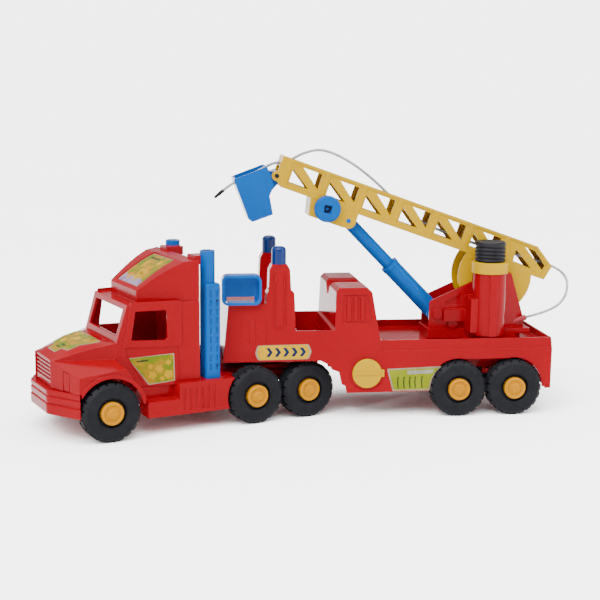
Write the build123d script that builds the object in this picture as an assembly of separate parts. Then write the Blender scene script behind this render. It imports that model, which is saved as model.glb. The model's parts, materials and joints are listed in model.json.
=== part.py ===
from build123d import *

import math
import os

# Toy articulated crane lorry. Millimetres, +X is forward, +Y is the lorry's left and +Z is up.
# It is modelled about the kingpin's foot on the ground, with the trailer straight along X, and
# every node is moved at the end so that the footprint's centre is the origin.
ORIGIN_X = -60.7
ORIGIN_Y = 35.35

# Stance at rest: the tractor is steered to the left, the boom is raised, the basket is tipped.
TRACTOR_YAW = 20.3
BOOM_PITCH = 19.2
BASKET_PITCH = -19.8
STRUT_PITCH = 46.4

# Wheels
TYRE_RADIUS = 39.0
TYRE_WIDTH = 28.0
TYRE_OUTER_Y = 90.0
TREAD_BLOCKS = 20
TREAD_DEPTH = 2.0
RIM_RADIUS = 19.5
RIM_DEPTH = 7.0
CAP_RADIUS = 15.1
AXLE_RADIUS = 2.5
AXLE_CLEARANCE = 0.05
FRONT_AXLE_X = 245.3
DRIVE_AXLES_X = (38.6, -41.5)
TRAILER_AXLES_X = (-278.5, -358.9)
ARCH_RADIUS = 42.0

# Trailer shell: its sides lean in as they rise
WALL = 3.0
SIDE_AT_GROUND = 86.0
SIDE_LEAN = 0.085
SKIRT_Z = 36.5
NOSE_Z = 82.0
DECK_Z = 98.5
PAD_RISE = 0.6
RAIL_Z = 108.5
CREASE_Z = 94.0
FRONT_DECK_Z = 161.0
NOTCH_Z = 123.5
CRADLE_Z = 181.5
BIN_FLOOR_Z = 87.0
TRAILER_REAR_X = -415.0
TRAILER_NOSE_X = 51.0
TOWER_INNER_Y = 48.0
BEACON_X = -27.0
BEACON_Y = 59.0
BEACON_RADIUS = 10.0
BEACON_Z = 214.5
FILLER_X = -148.0
FILLER_Z = 63.5
FILLER_RADIUS = 20.5

# Kingpin and fifth wheel
KINGPIN_RADIUS = 7.0
FIFTH_WHEEL_Z = 76.0

# Turret
SLEW_X = -315.0
TURRET_BASE_Z = 109.6
TURRET_FLOOR_Z = 113.6
TURRET_FOOT_RADIUS = 73.0
PLINTH_TOP_Z = 117.0
CHEEK_OUTER_Y = 24.0
CHEEK_INNER_Y = 20.6
PUMP_X = -328.0
PUMP_Y = 48.0
PUMP_RADIUS = 24.0
PUMP_TOP_Z = 199.5
COLLAR_RADIUS = 26.0
COLLAR_TOP_Z = 213.5
BELLOWS_TOP_Z = 242.5
BELLOWS_RADIUS = 21.8
BELLOWS_RIBS = 4
SPIGOT_END = (-389.0, 32.0, 129.4)
SPIGOT_RADIUS = 4.0
SPIGOT_TILT = 19.0
SPIGOT_LENGTH = 34.0

# Boom, in its own frame: u runs along the boom from its pivot, v runs up from the pivot
BOOM_PIVOT = (-339.0, 172.0)
BOOM_HALF_WIDTH = 19.6
BOOM_WALL = 2.6
BOOM_LOW_V = 35.0
BOOM_HIGH_V = 77.0
BOOM_TIP_U = 346.0
BOOM_TAIL_U = -70.0
BAY = 55.0
FIRST_POST_U = 3.0
BAYS = 6
SECTOR_RADIUS = 54.3
SECTOR_V = 16.5
PANEL_DEPTH = 0.8
PIVOT_PIN_RADIUS = 5.0
PIN_CLEARANCE = 0.05
STRUT_PIN_UV = (229.4, 21.8)
STRUT_EAR_RADIUS = 11.0
KNOB_UV = (264.0, 28.0)
KNOB_RADIUS = 18.5
DRUM_RADIUS = 6.3
TIP_PIN_UV = (345.4, 47.6)
TIP_LUG_RADIUS = 7.2

# Strut
STRUT_BASE = (-260.0, 134.4)
STRUT_TUBE_RADIUS = 12.6
STRUT_ROD_RADIUS = 9.2
STRUT_PIN_RADIUS = 3.0

STRUT_EYE_RADIUS = 9.0
STRUT_PLAY = 5.0

# Basket, in its own frame: u forward from its pivot, v up
BASKET_BACK_U = 9.0
BASKET_FRONT_U = 57.0
BASKET_TOP_V = 17.4
BASKET_FLOOR_V = -48.0
BASKET_HALF_WIDTH = 26.0
BASKET_WALL = 2.2
LUG_HALF = 15.4
NOZZLE_Y = 19.5
NOZZLE_V = 12.0

# Hose
HOSE_RADIUS = 1.9
HOSE_SLOT = 3.2
HOSE_TAIL_V = 57.0
NOZZLE_LENGTH = 16.0

# Tractor, in its own straight frame about the kingpin
CAB_REAR_X = 117.0
FENDER_Y = 85.0
BUMPER_LOW_Z = 33.5
BUMPER_TOP_Z = 66.5
BUMPER_GROOVES_Z = (48.8, 59.0)
GROOVE_WIDTH = 1.4
GROOVE_DEPTH = 1.6
STACK_X = 99.0
STACK_Y = 59.0
STACK_TOP_Z = 238.0
STACK_RADIUS = 10.0
BONNET_CROWN = (
    (306.4, 35.6, 102.8, 0.6),
    (294.0, 39.6, 106.8, 4.0),
    (280.0, 44.0, 111.2, 6.2),
    (268.0, 47.6, 114.9, 7.0),
    (252.0, 52.4, 118.4, 6.0),
    (229.5, 59.4, 123.4, 1.6),
)
STACK_SLOTS = 9
GRILLE_BARS = 5
TANK_RIBS = 6

OVERRUN = 200.0


def side_at(z, inset=0.0):
    """Half width of the trailer shell at height z, less an inset."""
    return SIDE_AT_GROUND - SIDE_LEAN * z - inset


def slab(points, y_low, y_high):
    """A plate with the given X-Z outline between two values of Y."""
    face = make_face(Plane.XZ * Polyline(*points, close=True))
    return Pos(0, y_high, 0) * extrude(face, amount=y_high - y_low, dir=(0, -1, 0))


def flat(points, z_low, z_high):
    """A plate with the given X-Y outline between two heights."""
    face = make_face(Polyline(*points, close=True))
    return Pos(0, 0, z_low) * extrude(face, amount=z_high - z_low, dir=(0, 0, 1))


def block(x_low, x_high, y_low, y_high, z_low, z_high):
    """A box given by its limits."""
    size = Box(x_high - x_low, y_high - y_low, z_high - z_low)
    return Pos((x_low + x_high) / 2, (y_low + y_high) / 2, (z_low + z_high) / 2) * size


def upright(x, y, radius, z_low, z_high):
    """A vertical cylinder."""
    return Pos(x, y, (z_low + z_high) / 2) * Cylinder(radius, z_high - z_low)


def crossbar(x, z, radius, y_low, y_high):
    """A cylinder along Y."""
    return Pos(x, (y_low + y_high) / 2, z) * Rot(90, 0, 0) * Cylinder(radius, y_high - y_low)


def both_sides(piece):
    """A piece and its mirror image in the X-Z plane."""
    return piece + mirror(piece, Plane.XZ)


def wedge(inset=0.0):
    """The space between the trailer's two leaning sides, less an inset."""
    low, high = 20.0, 230.0
    corners = [
        (-side_at(low, inset), low),
        (side_at(low, inset), low),
        (side_at(high, inset), high),
        (-side_at(high, inset), high),
    ]
    section = make_face(Plane.YZ * Polyline(*corners, close=True))
    return Pos(-450, 0, 0) * extrude(section, amount=550, dir=(1, 0, 0))


def arch_cut(axle_x, radius):
    """A round wheel opening through the whole width."""
    return crossbar(axle_x, TYRE_RADIUS, radius, -OVERRUN, OVERRUN)


# ---------------------------------------------------------------- trailer


def shell_outline():
    """Side view of the trailer shell without its wheel openings."""
    return [
        (TRAILER_NOSE_X, NOSE_Z),
        (43, FRONT_DECK_Z),
        (-48, FRONT_DECK_Z),
        (-48.5, NOTCH_Z),
        (-103.5, NOTCH_Z),
        (-105, 176),
        (-110, CRADLE_Z),
        (-149, CRADLE_Z),
        (-155.5, 175),
        (-167, RAIL_Z),
        (TRAILER_REAR_X + 1.5, RAIL_Z),
        (TRAILER_REAR_X, CREASE_Z),
        (-413, SKIRT_Z),
        (-120, SKIRT_Z),
        (-118, 46),
        (-113, 48.5),
        (-109, 66),
        (-99, 69.5),
        (-96, 75.5),
        (-83, NOSE_Z),
    ]


def tower_outline():
    """Side view of a lamp tower above the front deck."""
    return [
        (-8.5, FRONT_DECK_Z - 1),
        (-9.5, 175),
        (-12, 179.5),
        (-13, 207),
        (-17, BEACON_Z),
        (-37.5, BEACON_Z),
        (-41.5, 207),
        (-42.8, 179.5),
        (-47, 176),
        (-48, FRONT_DECK_Z - 1),
    ]


def shell_hollows():
    """Everything inside the trailer's walls that opens downwards."""
    nose = [(48, NOSE_Z - 1), (40, FRONT_DECK_Z - WALL), (-45, FRONT_DECK_Z - WALL), (-45, NOSE_Z - 1)]
    cradle = [(-107, 60), (-108, 156), (-150, 156), (-164, 95), (-164, 30), (-112, 30)]
    rear = [(-160, 30), (-160, DECK_Z - WALL), (TRAILER_REAR_X + 4, DECK_Z - WALL), (-409.5, 30)]
    under_bin = block(-109, -44, -OVERRUN, OVERRUN, 60, BIN_FLOOR_Z - WALL)
    hollow = slab(nose, -OVERRUN, OVERRUN) + slab(cradle, -OVERRUN, OVERRUN)
    hollow += slab(rear, -OVERRUN, OVERRUN) + under_bin
    return hollow & wedge(WALL)


def cradle_trough():
    """The V-shaped trough across the cradle's top that the lowered boom lies in."""
    low_z = CRADLE_Z - 19
    section = [(-23, CRADLE_Z + 5), (-19, CRADLE_Z - 3), (-6, low_z), (6, low_z), (19, CRADLE_Z - 3)]
    section.append((23, CRADLE_Z + 5))
    face = make_face(Plane.YZ * Polyline(*section, close=True))
    return Pos(-170, 0, 0) * extrude(face, amount=80, dir=(1, 0, 0))


def trailer_body():
    outer = slab(shell_outline(), -OVERRUN, OVERRUN) & wedge()
    towers = both_sides(slab(tower_outline(), TOWER_INNER_Y, OVERRUN)) & wedge()
    ribs = both_sides(block(-34, -20, TOWER_INNER_Y + 4, OVERRUN, 130, 207)) & wedge(-1.4)
    body = outer + towers + ribs
    body -= shell_hollows()
    body -= block(-100.5, -51.5, -OVERRUN, OVERRUN, BIN_FLOOR_Z, OVERRUN) & wedge(WALL)
    body -= block(TRAILER_REAR_X + 4.5, -170, -OVERRUN, OVERRUN, DECK_Z, OVERRUN) & wedge(WALL)
    body -= cradle_trough()
    body -= block(TRAILER_REAR_X - 5, -168.5, -OVERRUN, OVERRUN, CREASE_Z, 130) - wedge(1.0)
    for axle_x in TRAILER_AXLES_X:
        body -= arch_cut(axle_x, ARCH_RADIUS)
    arch_top = TYRE_RADIUS + ARCH_RADIUS - 1
    body -= block(TRAILER_AXLES_X[1], TRAILER_AXLES_X[0], -OVERRUN, OVERRUN, 20, arch_top)
    body -= block(-405, TRAILER_AXLES_X[1], -OVERRUN, OVERRUN, 20, TYRE_RADIUS)
    panel = [(-115, 172), (-150, 172), (-156, 133), (-113, 133)]
    body -= both_sides(slab(panel, 0, OVERRUN)) - wedge(1.2)
    for rib_x in (-123, -132, -141):
        body += both_sides(block(rib_x - 1.5, rib_x + 1.5, 60, OVERRUN, 135, 170)) & (wedge() - wedge(2.5))
    for y in (-50, 50):
        body += upright(20, y, 4.5, BIN_FLOOR_Z - WALL, FRONT_DECK_Z - 1)
    body += block(-240, -172, -66, 66, DECK_Z - 1, DECK_Z + PAD_RISE)
    body -= upright(SLEW_X, 0, 5.2, DECK_Z - 10, DECK_Z + 2)
    body -= upright(-181, 26, 2.5, DECK_Z - 10, DECK_Z + 2)
    body -= filler_seat()
    return body


def filler_seat():
    """The round hole in the left skirt that the filler cap's neck turns in."""
    pocket = crossbar(FILLER_X, FILLER_Z, FILLER_RADIUS + 4, side_at(FILLER_Z) + 0.2, 100)
    return crossbar(FILLER_X, FILLER_Z, 9.0, 60, 100) + pocket


def filler_cap():
    """A round bayonet cap with a bar to turn it by and a small tab at its edge."""
    face_y = side_at(FILLER_Z) - 0.7
    disc = crossbar(FILLER_X, FILLER_Z, FILLER_RADIUS, face_y + 1.2, face_y + 5.2)
    disc = fillet(disc.faces().sort_by(Axis.Y)[-1].edges(), 1.6)
    neck = crossbar(FILLER_X, FILLER_Z, 8.9, face_y - 6, face_y + 1.2)
    bar = block(FILLER_X - 17, FILLER_X + 17, face_y + 4, face_y + 6.4, FILLER_Z - 1.6, FILLER_Z + 1.6)
    tab = block(FILLER_X - 24, FILLER_X - 18, face_y + 1.2, face_y + 4, FILLER_Z - 5, FILLER_Z + 5)
    return disc + neck + bar + tab


def trailer_frame():
    """Underframe: a nose plate for the kingpin, two rails and the axle bearings."""
    plate = block(-116, 38, -62, 62, NOSE_Z + 0.6, BIN_FLOOR_Z - WALL)
    rails = both_sides(block(-406, -166, 44, 50, 62, DECK_Z - WALL))
    bearings = Part()
    for axle_x in TRAILER_AXLES_X:
        bearings += block(axle_x - 9, axle_x + 9, 44, 50, 30, 64)
        bearings += block(axle_x - 6, axle_x + 6, -50, 50, 72, 76)
    frame = plate + rails + both_sides(bearings)
    frame += block(-166, -162, -50, 50, NOSE_Z - 20, DECK_Z - WALL)
    frame += both_sides(block(-166, -113, 44, 50, 66, 78.5)) + block(-116, -113, -50, 50, 66, NOSE_Z + 1)
    for axle_x in TRAILER_AXLES_X:
        frame -= crossbar(axle_x, TYRE_RADIUS, AXLE_RADIUS + AXLE_CLEARANCE, -60, 60)
    frame -= upright(SLEW_X, 0, 14, 40, DECK_Z)
    frame -= upright(0, 0, KINGPIN_RADIUS, 70, 90)
    return frame


def kingpin():
    """The pin under the trailer's nose with its retaining collar."""
    shank = upright(0, 0, KINGPIN_RADIUS, 61, NOSE_Z + 3)
    collar = upright(0, 0, KINGPIN_RADIUS + 3.5, NOSE_Z - 1.2, NOSE_Z + 0.6)
    foot = upright(0, 0, KINGPIN_RADIUS + 3, 58, 61)
    return shank + collar + foot


def beacon(side):
    """A domed lamp on its tower."""
    lamp = upright(BEACON_X, side * BEACON_Y, BEACON_RADIUS, BEACON_Z, 238.6)
    return fillet(lamp.faces().sort_by(Axis.Z)[-1].edges(), 6.0)


def side_tray():
    """An open blue locker that hangs over the front deck's left edge."""
    x_mid, z_low, z_high, depth = 25.5, FRONT_DECK_Z, 202.0, 20.0
    half = 27.0
    face_y = 80.0
    outline = Plane.XZ * Pos(x_mid, (z_low + z_high) / 2) * Rectangle(2 * half, z_high - z_low)
    rim = fillet(outline.vertices(), 9)
    shell = Pos(0, face_y, 0) * extrude(rim, amount=depth)
    hole = offset(rim, -3.6, kind=Kind.ARC)
    shell -= Pos(0, face_y + 1, 0) * extrude(hole, amount=depth - 2)
    shell -= block(x_mid - 19, x_mid + 19, face_y - depth - 5, face_y - 10, z_low + 3.6, z_low + 9)
    return shell


def trailer_screws():
    """Screws that hold the underframe to the shell's posts."""
    group = []
    for x in (-70, 20):
        for y in (-50, 50):
            group.append(upright(x, y, 2.2, NOSE_Z - 1.6, NOSE_Z + 0.6))
    return group


# ---------------------------------------------------------------- wheels


def tyre(side):
    """A blocky tyre with its hub, centred on the axle's line at x = 0."""
    inner_y = TYRE_OUTER_Y - TYRE_WIDTH
    section = [
        (AXLE_RADIUS, inner_y + 8),
        (RIM_RADIUS, inner_y + 8),
        (RIM_RADIUS + 2, inner_y),
        (TYRE_RADIUS - 5, inner_y),
        (TYRE_RADIUS, inner_y + 4),
        (TYRE_RADIUS, TYRE_OUTER_Y - 4),
        (TYRE_RADIUS - 4.5, TYRE_OUTER_Y),
        (RIM_RADIUS + 3, TYRE_OUTER_Y),
        (RIM_RADIUS, TYRE_OUTER_Y - 1.5),
        (RIM_RADIUS - 1, TYRE_OUTER_Y - RIM_DEPTH),
        (6.1, TYRE_OUTER_Y - RIM_DEPTH),
        (6.1, TYRE_OUTER_Y - RIM_DEPTH - 6),
        (AXLE_RADIUS, TYRE_OUTER_Y - RIM_DEPTH - 6),
    ]
    body = revolve(make_face(Polyline(*section, close=True)), Axis.Y)
    mid_y = (inner_y + TYRE_OUTER_Y) / 2
    for index in range(TREAD_BLOCKS):
        turn = Rot(0, (index + 0.5) * 360 / TREAD_BLOCKS, 0)
        groove = Box(3.2, TYRE_WIDTH / 2 - 1.5, 2 * TREAD_DEPTH)
        body -= turn * Pos(0, mid_y + 8.5, TYRE_RADIUS) * groove
        body -= turn * Rot(0, 180 / TREAD_BLOCKS, 0) * Pos(0, mid_y - 8.5, TYRE_RADIUS) * groove
    body -= Rot(90, 0, 0) * Pos(0, 0, -mid_y) * (Cylinder(50, 3) - Cylinder(TYRE_RADIUS - TREAD_DEPTH, 3))
    return body if side > 0 else mirror(body, Plane.XZ)


def hub_cap(side):
    """A domed snap-in cap with raised rings."""
    seat = TYRE_OUTER_Y - RIM_DEPTH
    section = [
        (0, seat - 4),
        (6, seat - 4),
        (6, seat),
        (CAP_RADIUS, seat),
        (CAP_RADIUS, seat + 7.6),
        (CAP_RADIUS - 1.6, seat + 8.8),
        (CAP_RADIUS - 3.4, seat + 8.6),
        (CAP_RADIUS - 4.6, seat + 7.4),
        (7.4, seat + 7.8),
        (6.6, seat + 9.2),
        (0, seat + 9.8),
    ]
    body = revolve(make_face(Polyline(*section, close=True)), Axis.Y)
    return body if side > 0 else mirror(body, Plane.XZ)


def axle_rod():
    """A steel rod between a pair of wheels."""
    reach = TYRE_OUTER_Y - RIM_DEPTH - 6.5
    return crossbar(0, 0, AXLE_RADIUS, -reach, reach)


# ---------------------------------------------------------------- turret


def turret_base():
    """The turntable above the deck's rails, with the round foot that turns between them."""
    plan = block(-389.5, -246.5, -26, 26, 0, OVERRUN) + block(-389.5, -316, 20, 50, 0, OVERRUN)
    plate = plan & block(-400, -200, -60, 60, TURRET_BASE_Z, TURRET_FLOOR_Z)
    foot = plan & upright(SLEW_X, 0, TURRET_FOOT_RADIUS, DECK_Z + 0.8, TURRET_BASE_Z)
    hub = upright(SLEW_X, 0, 30, DECK_Z + 0.3, TURRET_BASE_Z)
    body = plate + foot + hub - upright(PUMP_X, PUMP_Y, PUMP_RADIUS + 0.03, TURRET_BASE_Z, 130)
    return body - upright(SLEW_X, 0, 4.0, 90, 120)


def turret_pivot():
    """The shouldered screw that holds the turntable to the deck."""
    shank = upright(SLEW_X, 0, 4.0, DECK_Z - 9, TURRET_FLOOR_Z)
    foot = upright(SLEW_X, 0, 8.0, DECK_Z - 12, DECK_Z - 9)
    return shank + foot + upright(SLEW_X, 0, 7, TURRET_FLOOR_Z, 116)


def cheek_outline():
    """Side view of a turret cheek."""
    return [
        (-247.5, TURRET_FLOOR_Z),
        (-248.5, 151),
        (-251.5, 154.5),
        (-306.5, 179),
        (-357, 199),
        (-362, 197),
        (-387.5, 127),
        (-389, TURRET_FLOOR_Z),
    ]


def cheek():
    """A cheek plate with bosses and its bores for the boom and strut pins."""
    plate = slab(cheek_outline(), CHEEK_INNER_Y, CHEEK_OUTER_Y)
    plate -= crossbar(*BOOM_PIVOT, PIVOT_PIN_RADIUS, 0, 60)
    plate -= crossbar(*STRUT_BASE, STRUT_PIN_RADIUS, 0, 60)
    return plate


def left_cheek():
    """The left cheek carries the pump tower, its fairing and two raised ducts."""
    body = cheek()
    tower = upright(PUMP_X, PUMP_Y, PUMP_RADIUS, TURRET_BASE_Z, PUMP_TOP_Z)
    fairing = flat([(-337, 22), (-337, 50), (-351, 46), (-388, 26), (-388, 22)], TURRET_FLOOR_Z, 195)
    plinth = block(-389.5, -316, 22, 50, TURRET_FLOOR_Z, PLINTH_TOP_Z)
    trim = [(-337, 300), (-337, 199), (-357, 199), (-362, 197)]
    trim += [(-387.5, 127), (-389, 100), (-460, 100), (-460, 300)]
    body += tower + plinth + (fairing - slab(trim, 0, OVERRUN))
    body += block(-305, -268, CHEEK_INNER_Y + 2, CHEEK_OUTER_Y + 9, 125, 142)
    body += block(-311, -299, CHEEK_INNER_Y + 2, PUMP_Y + 14, TURRET_FLOOR_Z, 162)
    body += block(PUMP_X - 5, PUMP_X + 5, PUMP_Y + 20, PUMP_Y + 25.2, TURRET_BASE_Z, PUMP_TOP_Z - 2)
    body -= slab([(-272, 147), (-272, 152), (-295, 163), (-295, 147)], CHEEK_OUTER_Y - 1.4, OVERRUN)
    for x, z in (STRUT_BASE, (-282.5, 121.0)):
        body += crossbar(x, z, 7.2, CHEEK_INNER_Y, CHEEK_OUTER_Y + 4.0)
    body -= upright(PUMP_X, PUMP_Y, PUMP_RADIUS - WALL, TURRET_FLOOR_Z + 4, PUMP_TOP_Z + 1)
    body -= crossbar(*BOOM_PIVOT, PIVOT_PIN_RADIUS, 0, CHEEK_OUTER_Y + 0.2)
    body -= crossbar(*STRUT_BASE, STRUT_PIN_RADIUS, 0, CHEEK_OUTER_Y + 0.6)
    body -= upright(PUMP_X, PUMP_Y, PUMP_RADIUS + 0.01, PUMP_TOP_Z - 1.5, PUMP_TOP_Z + 1) - upright(
        PUMP_X, PUMP_Y, PUMP_RADIUS - 0.8, PUMP_TOP_Z - 2, PUMP_TOP_Z + 1
    )
    body -= block(-365, -300, 0, CHEEK_INNER_Y, TURRET_FLOOR_Z, 220)
    return body


def right_cheek():
    body = mirror(cheek(), Plane.XZ)
    for x, z in (STRUT_BASE, (-282.5, 121.0)):
        body += crossbar(x, z, 7.0, -CHEEK_OUTER_Y - 1.2, -CHEEK_INNER_Y)
    body -= crossbar(*STRUT_BASE, STRUT_PIN_RADIUS, -CHEEK_OUTER_Y - 0.6, 0)
    return body


def pump_collar():
    """The yellow screw ring that clamps the bellows to the pump tower."""
    ring = upright(PUMP_X, PUMP_Y, COLLAR_RADIUS, PUMP_TOP_Z - 1.5, COLLAR_TOP_Z)
    ring = fillet(ring.faces().sort_by(Axis.Z)[-1].edges(), 1.5)
    ring -= upright(PUMP_X, PUMP_Y, PUMP_RADIUS - 0.8, PUMP_TOP_Z - 3, PUMP_TOP_Z)
    return ring - upright(PUMP_X, PUMP_Y, 17.5, PUMP_TOP_Z - 3, COLLAR_TOP_Z + 1)


def bellows_section():
    """Half section of the bellows: a closed cap over a stack of ribs."""
    waist = BELLOWS_RADIUS - 2.6
    pitch = (BELLOWS_TOP_Z - 8 - COLLAR_TOP_Z) / BELLOWS_RIBS
    points = [(0, COLLAR_TOP_Z + 0.1), (waist, COLLAR_TOP_Z + 0.1)]
    for index in range(BELLOWS_RIBS):
        low = COLLAR_TOP_Z + index * pitch
        points.append((waist, low + 0.22 * pitch))
        points.append((BELLOWS_RADIUS, low + 0.42 * pitch))
        points.append((BELLOWS_RADIUS, low + 0.72 * pitch))
        points.append((waist, low + 0.94 * pitch))
    points.append((BELLOWS_RADIUS - 0.4, BELLOWS_TOP_Z - 7.6))
    points.append((BELLOWS_RADIUS - 0.4, BELLOWS_TOP_Z - 3))
    points.append((BELLOWS_RADIUS - 3, BELLOWS_TOP_Z - 0.6))
    points.append((0, BELLOWS_TOP_Z))
    return points


def pump_bellows():
    body = revolve(make_face(Plane.XZ * Polyline(*bellows_section(), close=True)), Axis.Z)
    return Pos(PUMP_X, PUMP_Y, 0) * body


def hose_spigot():
    """The tube at the pump's foot that the hose is pushed into."""
    seat = Cylinder(SPIGOT_RADIUS, SPIGOT_LENGTH)
    tube = seat - Pos(0, 0, SPIGOT_LENGTH / 2) * Cylinder(HOSE_RADIUS - 0.4, 20)
    return on_spigot(tube), on_spigot(seat)


def on_spigot(piece):
    """Moves a piece from the spigot's own frame (its axis along Z) to its place."""
    return Pos(SPIGOT_END[0], SPIGOT_END[1], SPIGOT_END[2]) * Rot(0, SPIGOT_TILT - 90, 0) * Pos(
        0, 0, -SPIGOT_LENGTH / 2
    ) * piece


# ---------------------------------------------------------------- boom


def on_boom(piece):
    """Moves a piece from the boom's own frame (u along X, v along Z) to its raised place."""
    return Pos(BOOM_PIVOT[0], 0, BOOM_PIVOT[1]) * Rot(0, -BOOM_PITCH, 0) * piece


def boom_point(u, v):
    """World X and Z of a point of the boom's frame."""
    turn = math.radians(BOOM_PITCH)
    x = BOOM_PIVOT[0] + u * math.cos(turn) - v * math.sin(turn)
    z = BOOM_PIVOT[1] + u * math.sin(turn) + v * math.cos(turn)
    return x, z


def boom_outline():
    return [
        (BOOM_TAIL_U - 1.5, BOOM_LOW_V),
        (BOOM_TIP_U - 10, BOOM_LOW_V),
        (BOOM_TIP_U, BOOM_LOW_V + 8),
        (BOOM_TIP_U, BOOM_HIGH_V),
        (BOOM_TAIL_U + 25, BOOM_HIGH_V),
        (BOOM_TAIL_U - 6, BOOM_LOW_V + 22),
    ]


def bay_windows(post_u):
    """The two triangular windows of one lattice bay, either side of its falling diagonal."""
    upper = [(post_u + 7.5, 70.5), (post_u + 36, 70.5), (post_u + 7.5, 48.5)]
    lower = [(post_u + 49, 44.5), (post_u + 49, 64.5), (post_u + 20, 44.5)]
    return upper, lower


def boom_beam():
    """The hollow lattice box with the two pivot sectors under its tail."""
    half = BOOM_HALF_WIDTH
    body = slab(boom_outline(), -half, half)
    inner = [
        (BOOM_TAIL_U + 1, BOOM_LOW_V + BOOM_WALL),
        (BOOM_TIP_U - 12, BOOM_LOW_V + BOOM_WALL),
        (BOOM_TIP_U - 3, BOOM_LOW_V + 10),
        (BOOM_TIP_U - 3, BOOM_HIGH_V - BOOM_WALL),
        (BOOM_TAIL_U + 26, BOOM_HIGH_V - BOOM_WALL),
        (BOOM_TAIL_U - 3, BOOM_LOW_V + 22),
    ]
    body -= slab(inner, -half + BOOM_WALL, half - BOOM_WALL)
    panel_low, panel_high = BOOM_LOW_V + 4.5, BOOM_HIGH_V - 3.5
    for index in range(BAYS):
        post_u = FIRST_POST_U + index * BAY
        body -= both_sides(
            block(post_u + 3.5, post_u + BAY - 3.5, half - PANEL_DEPTH, OVERRUN, panel_low, panel_high)
        )
        for triangle in bay_windows(post_u):
            body -= slab(triangle, -OVERRUN, OVERRUN)
    for index in range(BAYS + 1):
        post = block(0, 2.4, -half + 1, half - 1, BOOM_LOW_V + 1, BOOM_HIGH_V - 1)
        frame_hole = block(-1, 4, -half + 6, half - 6, BOOM_LOW_V + 6, BOOM_HIGH_V - 4)
        body += Pos(FIRST_POST_U + index * BAY - 1.2, 0, 0) * (post - frame_hole)
    tail_panel = [(-1, 40), (-64, 40), (-69, 56), (-43, 73.5), (-1, 73.5)]
    body -= both_sides(slab(tail_panel, half - PANEL_DEPTH, OVERRUN))
    body -= slab([(-16, 63), (-18, 45.5), (-47, 44)], -OVERRUN, OVERRUN)
    body -= slab([(-28, 70), (-44, 70), (-66, 54), (-64, 47)], -OVERRUN, OVERRUN)
    sector = crossbar(0, SECTOR_V, SECTOR_RADIUS, half - 3, half)
    sector -= block(-80, 80, 0, 60, -80, -26) + block(-80, 80, 0, 60, BOOM_LOW_V + 1, 90)
    body += both_sides(sector)
    body += crossbar(0, 0, 10, -half, half)
    body -= crossbar(0, 0, PIVOT_PIN_RADIUS + PIN_CLEARANCE, -60, 60)
    lug = crossbar(*TIP_PIN_UV, TIP_LUG_RADIUS, half - 3.4, half)
    lug += block(BOOM_TIP_U - 8, TIP_PIN_UV[0], half - 3.4, half, TIP_PIN_UV[1] - 7.2, TIP_PIN_UV[1] + 7.2)
    body += both_sides(lug)
    body -= block(BOOM_TIP_U - 18, BOOM_TIP_U + 20, -half + 3.6, half - 3.6, 30, 62)
    body -= crossbar(*TIP_PIN_UV, 3.0, -60, 60)
    for u_low, u_high in ((168, 202), (315, BOOM_TIP_U + 5)):
        body -= block(u_low, u_high, -HOSE_SLOT, HOSE_SLOT, 62, BOOM_HIGH_V + 4)
    body -= along(BOOM_TAIL_U - 10, BOOM_TAIL_U + 12, 2.3).moved(Location((0, 0, HOSE_TAIL_V)))
    return on_boom(body)


def boom_pivot_pin():
    return crossbar(*BOOM_PIVOT, PIVOT_PIN_RADIUS, -CHEEK_OUTER_Y, CHEEK_OUTER_Y)


def boom_bracket():
    """The saddle under the boom that carries the winch knob and the strut's clevis."""
    half = BOOM_HALF_WIDTH
    outline = [(219, 34.9), (219, 26), (233, 10.5), (285, 10.5), (291, 34.9)]
    body = slab(outline, -half, half)
    body -= block(200, 246, -half + 4.2, half - 4.2, 0, 34.8)
    body -= block(240, 283, -half + 4.2, half - 4.2, 14, 34.8)
    ear = crossbar(*STRUT_PIN_UV, STRUT_EAR_RADIUS, half - 4.2, half)
    body += both_sides(ear)
    body -= crossbar(*STRUT_PIN_UV, STRUT_PIN_RADIUS, -60, 60)
    body -= crossbar(*KNOB_UV, 5.0 + PIN_CLEARANCE, -60, 60)
    return on_boom(body)


def winch_shaft():
    """The shaft and drum inside the saddle, turned by the knob."""
    shaft = crossbar(*KNOB_UV, 5.0, -BOOM_HALF_WIDTH - 1.0, BOOM_HALF_WIDTH + 0.5)
    return on_boom(shaft + crossbar(*KNOB_UV, DRUM_RADIUS, -12, 12))


def winch_knob():
    """The knob with a square socket for a crank."""
    near = BOOM_HALF_WIDTH + 0.5
    disc = crossbar(*KNOB_UV, KNOB_RADIUS, near, near + 9)
    disc = fillet(disc.faces().sort_by(Axis.Y)[-1].edges(), 3.0)
    socket = Pos(KNOB_UV[0], near + 7, KNOB_UV[1]) * Rot(0, BOOM_PITCH - 6, 0) * Box(11, 10, 11)
    return on_boom(disc - socket)


# ---------------------------------------------------------------- strut


def strut_length():
    """Distance between the strut's two pins at rest."""
    x, z = boom_point(*STRUT_PIN_UV)
    return math.hypot(x - STRUT_BASE[0], z - STRUT_BASE[1])


def strut_angle():
    """Pitch of the strut at rest, in degrees."""
    x, z = boom_point(*STRUT_PIN_UV)
    return math.degrees(math.atan2(z - STRUT_BASE[1], x - STRUT_BASE[0]))


def on_strut(piece):
    """Moves a piece from the strut's own frame (along X from its base pin) to its place."""
    return Pos(STRUT_BASE[0], 0, STRUT_BASE[1]) * Rot(0, -strut_angle(), 0) * piece


def along(x_low, x_high, radius):
    """A cylinder along X on the axis."""
    return Pos((x_low + x_high) / 2, 0, 0) * Rot(0, 90, 0) * Cylinder(radius, x_high - x_low)


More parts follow.
